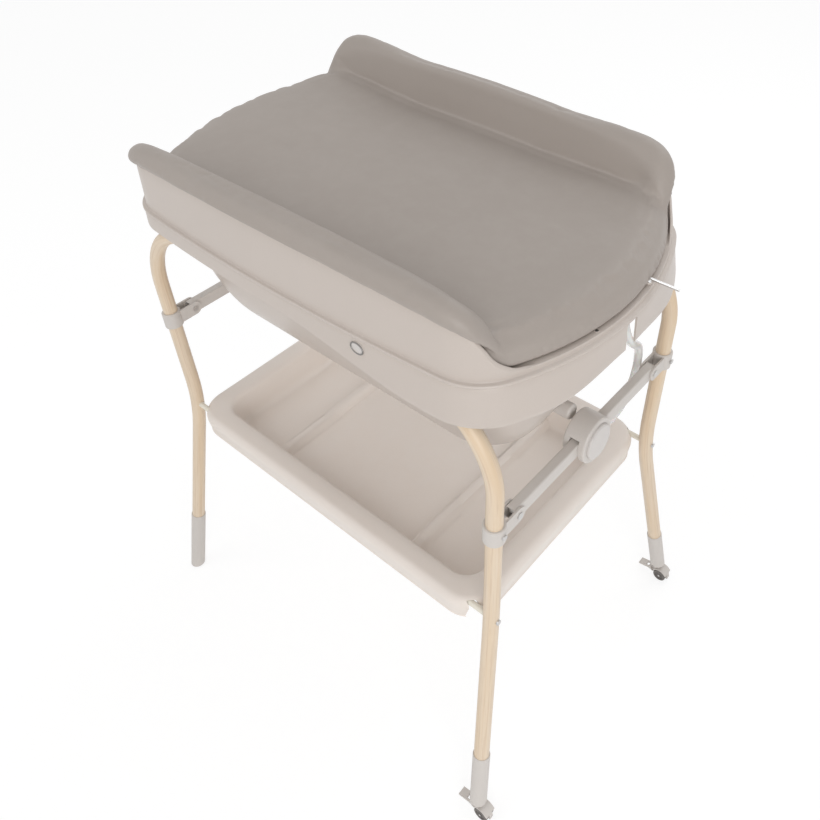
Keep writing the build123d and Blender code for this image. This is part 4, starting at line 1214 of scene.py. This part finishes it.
@dataclass
class Bathtub:
    """The bathtub: a rim with a turned-down skirt and a basin that tapers to its floor."""

    plan: BulgedPlan = field(default_factory=BulgedPlan)
    rim_top: float = 0.886
    skirt: float = 0.029
    wall: float = 0.003
    edge_round: float = 0.0022
    basin_top: Colour = (0.385, 0.207, 0.12)
    basin_floor: Colour = (0.282, 0.112, 0.06)
    depth: float = 0.252
    basin_rows: tuple[tuple[float, float], ...] = (
        (0.0, 0.0), (0.3, 0.13), (0.66, 0.38), (0.9, 0.68), (1.0, 1.0),
    )
    notch_width: float = 0.024
    notch_reach: tuple[float, float] = (0.012, 0.01)
    notch_clear: float = 0.0005
    rim_flat: float = 0.01
    hem_round: tuple[float, float] = (0.0012, 0.0008)
    fillet: float = 0.002
    corner_depth: float = 0.060
    end_depth: float = 0.048
    corner_flare: float = 0.0075
    hang_from: float = 0.12
    hang_reach: float = 0.30
    end_flat: float = 0.02
    end_turn: float = 0.14

    def hang(self, rings: list[list[Vector]]) -> None:
        """Let the skirt hang lower and flare out a little towards the drain end.

        Args:
            rings: The rim's rings, which are changed in place.
        """
        outer, inner = self.plan.outline(0.0), self.plan.outline(0.001)
        for ring in rings:
            for point, (x0, y0), (x1, y1) in zip(ring, outer, inner):
                share = (self.rim_top - point.z) / self.skirt
                if share < self.hang_from:
                    continue
                along = smooth(point.x / self.hang_reach)
                round_end = ramp(abs(point.y), self.end_flat, self.end_turn)
                deep = self.end_depth + (self.corner_depth - self.end_depth) * round_end
                depth = self.skirt + (deep - self.skirt) * along
                away = Vector((x0 - x1, y0 - y1, 0)).normalized()
                point.z = self.rim_top - share * depth
                point += away * self.corner_flare * along * round_end * share

    def basin_ring(self, depth_share: float, shrink: float) -> list[Vector]:
        """Return the basin's ring at a share of its depth, drawn in by shrink.

        Args:
            depth_share: How far down the basin it lies, from 0 to 1.
            shrink: How far it is drawn in.

        Returns:
            The ring's points.
        """
        plan_share = through(list(self.basin_rows), depth_share)
        half_length, half_width, corner = (
            top + (floor - top) * plan_share
            for top, floor in zip(self.basin_top, self.basin_floor)
        )
        plan = RoundedPlan(half_length, half_width, corner)
        height = self.rim_top - (self.depth - shrink) * depth_share
        return ring_at(plan, shrink, height)

    def basin_rings(self, shrink: float) -> list[list[Vector]]:
        """Return the basin's rings from the rim down to the middle of the floor.

        Args:
            shrink: How far it is drawn in.

        Returns:
            The rings.
        """
        shares = [0.04, 0.1, 0.2, 0.3, 0.4, 0.5, 0.6, 0.68, 0.76, 0.83, 0.89, 0.94, 0.975, 1.0]
        rings = [self.basin_ring(share, shrink) for share in shares]
        floor = rings[-1]
        for share in (0.93, 0.6):
            rings.append([Vector((p.x * share, p.y * share, p.z)) for p in floor])
        return rings

    def build(self) -> None:
        """Loft the bathtub, cut its finger notch and finish it."""
        soft, wall, top = self.edge_round, self.wall, self.rim_top
        bottom = top - self.skirt
        outer, inner = self.hem_round
        inside = self.basin_rings(wall)
        rim = [
            ring_at(self.plan, self.rim_flat, top), ring_at(self.plan, soft, top),
            ring_at(self.plan, 0.3 * soft, top - 0.3 * soft), ring_at(self.plan, 0.0, top - soft),
            *(ring_at(self.plan, 0.0, top - share * self.skirt)
              for share in (0.2, 0.35, 0.5, 0.65, 0.8, 0.9)),
            ring_at(self.plan, 0.0, bottom + outer), ring_at(self.plan, outer, bottom),
            ring_at(self.plan, wall - inner, bottom), ring_at(self.plan, wall, bottom + 0.001),
            ring_at(self.plan, wall, top - wall - self.fillet),
            ring_at(self.plan, wall + self.fillet, top - wall),
        ]
        self.hang(rim)
        outside = self.basin_rings(0.0)
        for ring in outside:
            for point in ring:
                point.z = min(point.z, top - wall)
        rings = list(reversed(inside)) + rim + outside
        tub = piece("bathtub_moulding", *lofted(rings), "tub", TAUPE, "taupe_plastic")
        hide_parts("bathtub")
        half = self.notch_width / 2
        edge = self.plan.half_length
        inward, outward_reach = self.notch_reach
        cut_box(tub, (edge - inward, -half, top - self.corner_depth - outward_reach),
                (edge + outward_reach, half, top - wall - self.notch_clear))


@dataclass
class BadgeRing:
    """The thin raised ring round the bare badge on the front skirt."""

    centre: Colour = (0.171, 0.2577, 0.8715)
    half_width: float = 0.0112
    half_height: float = 0.0087
    wire: float = 0.0011
    steps: int = 48
    wire_steps: int = 8

    def build(self) -> None:
        """Sweep the ring round the badge and finish it."""
        x0, y0, z0 = self.centre
        rings = []
        for step in range(self.steps):
            angle = 2 * math.pi * step / self.steps
            out = Vector((math.cos(angle), 0, math.sin(angle)))
            middle = Vector((x0 + self.half_width * out.x, -y0, z0 + self.half_height * out.z))
            rings.append([
                middle + out * self.wire * math.cos(turn) + Vector((0, -1, 0)) * self.wire
                * math.sin(turn)
                for turn in (2 * math.pi * k / self.wire_steps for k in range(self.wire_steps))
            ])
        piece("badge_ring", *looped(rings), "tub", RING, "steel")


CUT_CORNER = 0.003
SHARP_DEGREES = 38.0


def cut_box(made: bpy.types.Object, low: Colour, high: Colour) -> None:
    """Cut a round-cornered opening out of a piece, and keep its sharp edges sharp.

    Args:
        made: The piece.
        low: The cutter's lowest corner.
        high: Its highest corner.
    """
    mesh = bpy.data.meshes.new("cutter")
    work = bmesh.new()
    bmesh.ops.create_cube(work, size=1.0)
    for vertex in work.verts:
        vertex.co = Vector((a + (b - a) * (c + 0.5) for a, b, c in zip(low, high, vertex.co)))
    along = [e for e in work.edges if abs(e.verts[0].co.x - e.verts[1].co.x) > 1e-5]
    bmesh.ops.bevel(work, geom=along, offset=CUT_CORNER, segments=4, affect="EDGES", profile=0.5)
    work.to_mesh(mesh)
    work.free()
    cutter = placed("cutter", mesh)
    cut = made.modifiers.new("cut", "BOOLEAN")
    cut.operation, cut.solver, cut.object = "DIFFERENCE", "EXACT", cutter
    material = made.data.materials[0]
    apply_modifiers(made)
    bpy.data.objects.remove(cutter)
    dress(made, material)
    made.data.shade_smooth()
    made.data.set_sharp_from_angle(angle=math.radians(SHARP_DEGREES))


@dataclass
class StorageTray:
    """The storage tray: a rolled rim over the rods and a floor with two raised ribs."""

    top: float = 0.43856
    half_length: float = 0.347
    half_width: float = 0.244
    corner: float = 0.058
    rim_depth: float = 0.042
    rim_width: float = 0.045
    rim_round: float = 0.016
    wall: float = 0.003
    skirt_draft: float = 0.008
    floor_depth: float = 0.056
    floor_draft: float = 0.014
    inner_corner: float = 0.036
    floor_round: float = 0.013
    rib_x: float = 0.166
    rib_half: float = 0.0155
    rib_height: float = 0.0125
    rod_y: float = 0.2226
    rod_height: float = 0.4302
    rod_slot: float = 0.012
    plan_steps: tuple[int, int, int] = (64, 24, 150)
    hem_flare: float = 0.0015
    rim_lap: float = 0.016
    drop_round: float = 0.012
    drop_inset: float = 0.001
    floor_lap: float = 0.003
    floor_pitch: float = 0.0045
    floor_core: float = 0.006
    rib_steepness: float = 1.7
    slot_below: float = 0.02
    slot_half_depth: float = 0.05
    slot_steps: tuple[tuple[float, float], ...] = ((0.0, 0.0057), (0.004, -0.004), (0.008, -0.020))

    def build(self) -> None:
        """Loft the tray, thicken it, open the slots for the rods and finish it."""
        rings = self.rings()
        points, faces = lofted(rings)
        faces.pop(-2)
        tray = piece("storage_tray_moulding", points, faces, "tray", TRAY_PAINTED_LIGHT, "taupe_plastic")
        thick = tray.modifiers.new("thickness", "SOLIDIFY")
        thick.thickness, thick.offset, thick.use_rim = self.wall, -1.0, True
        apply_modifiers(tray)
        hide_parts("storage_tray")
        self.open_slots(tray)

    def rings(self) -> list[list[Vector]]:
        """Return the tray's rings, from the hem over the rim and down to the floor's middle.

        Returns:
            The rings.
        """
        quarter = [math.pi / 2 * step / 6 for step in range(7)]
        outer = RoundedPlan(self.half_length, self.half_width, self.corner, self.plan_steps)
        inner = RoundedPlan(self.half_length - self.rim_width, self.half_width - self.rim_width,
                            self.inner_corner, self.plan_steps)
        rings = []
        for drop in (self.rim_depth, self.rim_depth - self.hem_flare, 0.034, 0.027, 0.021):
            out = self.hem_flare if drop == self.rim_depth else 0.0
            rings.append(ring_at(outer, self.skirt_draft * (drop / self.rim_depth) - out,
                                 self.top - drop))
        soft, lean = self.rim_round, self.skirt_draft * self.rim_round / self.rim_depth
        for angle in quarter:
            rings.append(ring_at(outer, lean * (1 - math.sin(angle)) + soft * (1 - math.cos(angle)),
                                 self.top - soft + soft * math.sin(angle)))
        rings.append(ring_at(inner, -self.rim_lap, self.top))
        soft = self.drop_round
        for angle in quarter[1:]:
            rings.append(ring_at(inner, -soft * (1 - math.sin(angle)) + self.drop_inset,
                                 self.top - soft * (1 - math.cos(angle))))
        floor = self.top - self.floor_depth
        for depth in (0.02, 0.028, 0.036, self.floor_depth - self.floor_round):
            rings.append(ring_at(inner, self.floor_draft * depth / self.floor_depth,
                                 self.top - depth))
        soft, inset = self.floor_round, self.floor_draft - self.floor_lap
        for angle in quarter[1:]:
            rings.append(ring_at(inner, inset + soft * (1 - math.cos(angle)),
                                 floor + soft * (1 - math.sin(angle))))
        inset += soft
        while inset < inner.half_width - self.floor_core:
            inset += self.floor_pitch
            rings.append(ring_at(inner, inset, floor))
        for ring in rings:
            for point in ring:
                point.z += self.rib_lift(point, floor)
        return rings

    def open_slots(self, tray: bpy.types.Object) -> None:
        """Cut the rods' slots into the end skirts, wider towards the middle lower down.

        Args:
            tray: The tray to cut.
        """
        low, half = self.top - self.rim_depth - self.slot_below, self.rod_slot / 2
        for end in End:
            for side in Side:
                x = end.value * self.half_length
                for inward, above in self.slot_steps:
                    near = side.value * (self.rod_y - half - inward)
                    far = side.value * (self.rod_y + half)
                    cut_box(tray, (x - self.slot_half_depth, min(near, far), low),
                            (x + self.slot_half_depth, max(near, far), self.rod_height + above))

    def rib_lift(self, point: Vector, floor: float) -> float:
        """Return how far the ribs raise a point of the tray's floor.

        Args:
            point: The point.
            floor: The floor's height.

        Returns:
            The lift in metres.
        """
        away = abs(abs(point.x) - self.rib_x) / self.rib_half
        if away >= 1:
            return 0.0
        bump = self.rib_height * smooth((1 - away) * self.rib_steepness)
        above = point.z - floor
        return max(0.0, bump - above) if above < bump else 0.0


COVER_CLOTH = {
    "quality": 4, "mass": 0.25, "tension_stiffness": 12.0, "compression_stiffness": 12.0,
    "shear_stiffness": 6.0, "bending_stiffness": 1.2, "use_pressure": True,
    "uniform_pressure_force": 4.0, "vertex_group_mass": "held", "shrink_min": -0.012,
}


@dataclass(frozen=True)
class RollForm:
    """The measures of a roll's section: its arc, its waist and its foot on the pad's floor."""

    radius: float = 0.0185
    least_radius: float = 0.004
    under: float = 0.905
    lap: float = 0.012
    arc_start: float = 205.0
    arc_turn: float = 215.0
    arc_steps: int = 16
    lip_cover: float = 0.0015
    sole: float = 0.003
    hair: float = 0.001
    reach: float = 0.046
    full_from: float = 0.96
    least_reach: float = 0.45
    reach_from: float = 0.915
    reach_span: float = 0.045
    waist_share: float = 0.42
    waist_height: float = 0.937
    waist_from: float = 0.945
    low_waist: float = 0.934
    toe: float = 0.002
    toe_height: float = 0.936
    toe_drop: float = 0.004


@dataclass
class ChangingPad:
    """The changing pad: a crowned floor between two rolls that swoop down at their ends."""

    plan: BulgedPlan = field(default_factory=lambda: BulgedPlan(steps=(30, 26, 60)))
    base: float = 0.8995
    gap: float = 0.0082
    roll_inset: float = 0.0125
    form: RollForm = RollForm()
    floor_rows: tuple[tuple[float, float], ...] = (
        (0.0082, 0.909), (0.0085, 0.916), (0.011, 0.924), (0.017, 0.931), (0.028, 0.936),
        (0.05, 0.9385), (0.10, 0.9405), (0.16, 0.942), (0.22, 0.943),
    )
    roll_rows: tuple[tuple[float, float], ...] = (
        (0.0, 1.020), (0.10, 1.0185), (0.16, 1.0165), (0.24, 1.0135), (0.290, 1.010),
        (0.315, 1.005), (0.335, 0.994), (0.350, 0.970), (0.358, 0.943), (0.366, 0.922),
        (0.385, 0.913),
    )
    floor_half_width: float = 0.209
    roll_end: float = 0.386
    roll_from: float = 0.04
    voxel: float = 0.0045
    relax_share: float = 0.5
    relax_rounds: int = 10
    held_height: float = 0.006
    lip_clear: float = 0.0008
    swell_frames: int = 20
    move_cap: float = 0.005
    seam_floor: float = 0.925
    seam_from: float = 0.12
    seam_end: float = 0.352
    seam_fade: float = 0.03
    seam_width: float = 0.0032
    band_width: float = 0.0045
    seam_inset: float = 0.046
    seam_depth: float = 0.0022
    band_inset: float = 0.055
    band_rise: float = 0.0012
    far_corner_rise: float = 0.015
    head_rise: float = 0.012
    back_ends_rise: float = 0.008
    back_span: float = 0.56
    left_from: float = 0.282
    left_span: float = 0.526
    left_most: float = 1.15

    def build(self) -> None:
        """Shape the pad, let its cover swell, and press its welded seam in."""
        shell = ChangerShell()
        parts = [self.floor_slab()] + [self.roll(side, shell) for side in Side]
        pad = self.joined(parts)
        remesh = pad.modifiers.new("skin", "REMESH")
        remesh.mode, remesh.voxel_size = "VOXEL", self.voxel
        relax = pad.modifiers.new("relax", "SMOOTH")
        relax.factor, relax.iterations = self.relax_share, self.relax_rounds
        apply_modifiers(pad)
        self.swell(pad)
        self.keep_clear(pad, shell)
        self.press_seam(pad)
        self.raise_head_and_back(pad)
        finer = pad.modifiers.new("finer", "SUBSURF")
        finer.levels = finer.render_levels = 1
        apply_modifiers(pad)
        pad.data.shade_smooth()
        settle(pad, "changer", VINYL)
        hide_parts("changing_pad")

    def joined(self, parts: list[Skin]) -> bpy.types.Object:
        """Return one object that holds several closed skins.

        Args:
            parts: The skins' points and faces.

        Returns:
            The object.
        """
        points: list[Vector] = []
        faces: list[tuple[int, ...]] = []
        for more_points, more_faces in parts:
            start = len(points)
            points += more_points
            faces += [tuple(start + i for i in face) for face in more_faces]
        return piece("padded_mat", points, faces, "changer", VINYL, "pad_cover")

    def floor_slab(self) -> Skin:
        """Return the pad's floor, crowned and rounded at its edge.

        Returns:
            Its points and faces.
        """
        rings = [
            shrunk(self.plan.outline(self.gap), 0.5, self.base),
            ring_at(self.plan, self.gap + 0.004, self.base),
            ring_at(self.plan, self.gap + 0.0008, self.base + 0.002),
        ]
        rings += [ring_at(self.plan, inset, height) for inset, height in self.floor_rows[:6]]
        edge = self.floor_rows[5][0]
        rings += [
            shrunk(self.plan.outline(edge), 1 - (inset - edge) / self.floor_half_width, height)
            for inset, height in self.floor_rows[6:]
        ]
        return lofted(rings)

    def roll(self, side: Side, shell: ChangerShell) -> Skin:
        """Return one roll along a long side, with sections that keep clear of the shell.

        Args:
            side: The face that it runs along.
            shell: The shell that it lies in.

        Returns:
            Its points and faces.
        """
        line = sorted((p for p in self.plan.outline(self.roll_inset)
                       if p[1] * side.value > self.roll_from and abs(p[0]) < self.roll_end),
                      key=lambda p: p[0])
        rings = []
        for index, (x, y) in enumerate(line):
            before, after = line[max(index - 1, 0)], line[min(index + 1, len(line) - 1)]
            along = Vector((after[0] - before[0], after[1] - before[1]))
            inward = Vector((along.y, -along.x)).normalized() * side.value
            top = through(list(self.roll_rows), abs(x))
            section = self.section(top, shell.wall_top(x))
            rings.append([
                Vector((x, y, 0)) + Vector((*inward, 0)) * (t - self.roll_inset)
                + Vector((0, 0, z)) for t, z in section
            ])
        return lofted(rings)

    def section(self, top: float, wall_top: float) -> Outline:
        """Return a roll's section as distance in from the rim and height.

        Args:
            top: The roll's top there.
            wall_top: The top of the shell's wall there.

        Returns:
            Its closed outline.
        """
        form, sole = self.form, self.base + self.form.sole
        radius = min(form.radius, max(form.least_radius, (top - form.under) / 2))
        middle, height = max(self.roll_inset, self.gap + radius - form.lap), top - radius
        shoulder = min(wall_top + form.lip_cover, height)
        points = [(self.gap, sole), (self.gap, max(sole + form.hair, shoulder - form.hair))]
        for step in range(form.arc_steps + 1):
            angle = math.radians(form.arc_start - form.arc_turn * step / form.arc_steps)
            t, z = middle + radius * math.cos(angle), height + radius * math.sin(angle)
            if z < wall_top + form.hair:
                t = max(t, self.gap)
            points.append((t, max(z, sole + form.hair)))
        reach = form.reach
        if top <= form.full_from:
            reach *= max(form.least_reach, (top - form.reach_from) / form.reach_span)
        foot = max(reach, middle + radius + form.hair)
        waist = min(height, form.low_waist)
        if top > form.waist_from:
            waist = height * form.waist_share + form.waist_height * (1 - form.waist_share)
        toe = foot + form.toe
        return points + [
            ((middle + radius + foot) / 2, waist),
            (toe, min(form.toe_height, top - form.toe_drop)), (toe, sole),
        ]

    def swell(self, pad: bpy.types.Object) -> None:
        """Let air press the cover out, and cap how far any point moves.

        Args:
            pad: The pad.
        """
        scene = bpy.context.scene
        mesh = pad.data
        start = [vertex.co.copy() for vertex in mesh.vertices]
        held = pad.vertex_groups.new(name="held")
        low = [v.index for v in mesh.vertices if v.co.z < self.base + self.held_height]
        held.add(low, 1.0, "REPLACE")
        cloth = pad.modifiers.new("cover", "CLOTH")
        for key, value in COVER_CLOTH.items():
            setattr(cloth.settings, key, value)
        cloth.settings.effector_weights.gravity = 0.0
        cloth.collision_settings.use_collision = False
        cloth.collision_settings.use_self_collision = False
        for number in range(1, self.swell_frames + 1):
            scene.frame_set(number)
        apply_modifiers(pad)
        for vertex, place in zip(pad.data.vertices, start):
            move = vertex.co - place
            if move.length > self.move_cap:
                vertex.co = place + move.normalized() * self.move_cap
        scene.frame_set(1)
        pad.vertex_groups.clear()

    def raise_head_and_back(self, pad: bpy.types.Object) -> None:
        """Let the cushion stand higher towards its head end and its back corners.

        Args:
            pad: The pad.
        """
        for vertex in pad.data.vertices:
            x, y, z = vertex.co
            thick = ramp(z - self.base, start=0.002, reach=0.034)
            back = smooth(0.5 + y / self.back_span) ** 0.8
            left = min(self.left_most, max(0.0, (self.left_from - x) / self.left_span))
            head = ramp(-x, start=0.12, reach=0.26) * (0.3 + 0.7 * back)
            ends = ramp(abs(x), start=0.12, reach=0.2) * ramp(y, start=0.12, reach=0.08)
            rise = self.far_corner_rise * back * left + self.head_rise * head
            vertex.co.z += thick * (rise + self.back_ends_rise * ends)

    def insets(self, pad: bpy.types.Object) -> list[tuple[float, Vector]]:
        """Return how far each vertex lies in from the rim, and the way inward.

        Args:
            pad: The pad.

        Returns:
            A distance and a direction for each vertex.
        """
        outline = self.plan.outline(0.0)
        tree = KDTree(len(outline))
        for index, (x, y) in enumerate(outline):
            tree.insert((x, y, 0), index)
        tree.balance()
        found = []
        for vertex in pad.data.vertices:
            index = tree.find((vertex.co.x, vertex.co.y, 0))[1]
            x0, y0 = outline[index - 1]
            x1, y1 = outline[(index + 1) % len(outline)]
            inward = Vector((-(y1 - y0), x1 - x0, 0)).normalized()
            foot = Vector((*outline[index], 0))
            found.append(((Vector((vertex.co.x, vertex.co.y, 0)) - foot).dot(inward), inward))
        return found

    def keep_clear(self, pad: bpy.types.Object, shell: ChangerShell) -> None:
        """Draw the cover in where it would touch the shell's wall or deck.

        Args:
            pad: The pad.
            shell: The shell that it lies in.
        """
        for vertex, (inset, inward) in zip(pad.data.vertices, self.insets(pad)):
            vertex.co.z = max(vertex.co.z, self.base)
            lip = shell.wall_top(vertex.co.x)
            if vertex.co.z - lip < self.lip_clear and inset < self.gap:
                vertex.co += inward * (self.gap - inset)

    def press_seam(self, pad: bpy.types.Object) -> None:
        """Press the welded seam in at each roll's foot, with a soft band beside it.

        Args:
            pad: The pad.
        """
        for vertex, (inset, _) in zip(pad.data.vertices, self.insets(pad)):
            if vertex.co.z < self.seam_floor or abs(vertex.co.y) < self.seam_from:
                continue
            fade = smooth((self.seam_end - abs(vertex.co.x)) / self.seam_fade)
            groove = math.exp(-(((inset - self.seam_inset) / self.seam_width) ** 2))
            band = math.exp(-(((inset - self.band_inset) / self.band_width) ** 2))
            vertex.co.z += fade * (self.band_rise * band - self.seam_depth * groove)


# Camera, lamps and floor


@dataclass
class Studio:
    """The floor, the soft lamps and the camera."""

    eye: Colour = (0.861, -0.833, 1.628)
    azimuth: float = 41.5
    elevation: float = 33.07
    roll: float = -2.09
    lens: float = 39.05
    shift: tuple[float, float] = (-0.0568, -0.2196)
    floor_half: float = 9.0
    floor_lift: float = 0.74
    floor_glow: float = 1.10
    daylight: float = 0.60
    sky_seen: float = 1.07
    aim: Colour = (0.0, 0.0, 0.6)
    lamps: tuple[tuple[Colour, float, float], ...] = (
        ((-1.6, -2.2, 2.9), 15.0, 2.2),
        ((2.5, -2.1, 1.5), 36.0, 1.8),
        ((0.4, 2.4, 2.8), 18.0, 2.2),
    )

    def build(self) -> None:
        """Set up the whole studio."""
        self.place_camera()
        self.light()
        self.lay_floor()
        bpy.context.scene.view_settings.view_transform = "Standard"

    def place_camera(self) -> None:
        """Put the camera where the picture was taken from."""
        az, el, roll = (math.radians(a) for a in (self.azimuth, self.elevation, self.roll))
        view = Vector((-math.sin(az) * math.cos(el), math.cos(az) * math.cos(el), -math.sin(el)))
        right = Vector((math.cos(az), math.sin(az), 0))
        up = right.cross(view)
        side = right * math.cos(roll) + up * math.sin(roll)
        top = up * math.cos(roll) - right * math.sin(roll)
        data = bpy.data.cameras.new("picture_camera")
        data.lens = self.lens
        data.sensor_width = 36.0
        data.shift_x, data.shift_y = self.shift
        camera = placed("picture_camera", data)
        turn = Matrix((side, top, -view)).transposed().to_4x4()
        camera.matrix_world = Matrix.Translation(self.eye) @ turn
        bpy.context.scene.camera = camera

    def light(self) -> None:
        """Light the object softly, with a white ground for what the eye and gloss see."""
        world = bpy.data.worlds.new("studio_sky")
        bpy.context.scene.world = world
        world.use_nodes = True
        desk = NodeDesk(world.node_tree)
        sky = world.node_tree.nodes["Background"]
        strength = desk.spread(desk.seen(), 0.0, 1.0, self.daylight, self.sky_seen)
        desk.feed(sky, Color=(1.0, 1.0, 1.0, 1.0), Strength=strength)
        for number, (place, power, size) in enumerate(self.lamps, start=1):
            data = bpy.data.lights.new(f"soft_lamp_{number}", "AREA")
            data.energy, data.size = power, size
            aim = (Vector(self.aim) - Vector(place)).to_track_quat("-Z", "Y").to_matrix()
            lamp = placed(data.name, data)
            lamp.matrix_world = Matrix.Translation(place) @ aim.to_4x4()

    def lay_floor(self) -> None:
        """Lay a pale floor that keeps the object's soft shadow."""
        half = self.floor_half
        mesh = bpy.data.meshes.new("studio_floor")
        mesh.from_pydata([(-half, -half, 0), (half, -half, 0), (half, half, 0), (-half, half, 0)],
                         [], [(0, 1, 2, 3)])
        floor = placed("studio_floor", mesh)
        made = bpy.data.materials.new("floor_paper")
        made.use_nodes = True
        desk = NodeDesk(made.node_tree)
        shader = made.node_tree.nodes["Principled BSDF"]
        desk.feed(shader, Base_Color=(0.92, 0.92, 0.92, 1.0), Roughness=0.9,
                  Specular_IOR_Level=0.1)
        glow = desk.add("ShaderNodeEmission")
        desk.feed(glow, Color=(1.0, 1.0, 1.0, 1.0), Strength=self.floor_glow)
        mix = desk.add("ShaderNodeMixShader")
        lift = desk.maths("MULTIPLY", desk.seen(), self.floor_lift)
        for socket, value in zip(mix.inputs, (lift, shader.outputs[0], glow.outputs[0])):
            desk.join(socket, value)
        desk.join(made.node_tree.nodes["Material Output"].inputs[0], mix.outputs[0])
        mesh.materials.append(made)


# Pieces carried over from the solids


class Carried(Enum):
    """The record's material slots and the finish that each takes."""

    TAUPE_PLASTIC = TAUPE
    GREY_PLASTIC = GREY
    LIGHT_PLASTIC = PALE
    PAD_COVER = VINYL
    WOOD_TUBE = WOOD
    CREAM_STEEL = CREAM
    STEEL = STEEL
    CHROME = CHROME
    TYRE = TYRE
    GLIDE_RUBBER = GLIDE
    HOSE_TUBE = HOSE


class CarriedParts:
    """Every solid that shows as it is, with its finish."""

    def build(self) -> None:
        """Give each carried-over node the finish of its slot."""
        for row in frame["record"]["subparts"]:
            node = frame["nodes"][row["node"]]
            dress(node, Carried[row["material_slot"].upper()].value.material())


def main() -> None:
    """Build every sub-assembly in order and report it."""
    logging.basicConfig(level=logging.INFO, format="%(message)s")
    for part in (Studio(), DrainHose(), CarriedParts(), StandTubes(), Bathtub(), BadgeRing(),
                 StorageTray(), ChangerShell(), ChangingPad()):
        before = set(bpy.data.objects)
        part.build()
        for made in sorted(set(bpy.data.objects) - before, key=lambda o: o.name):
            log.info("%s: %s", type(part).__name__, made.name)


if __name__ == "__main__":
    main()
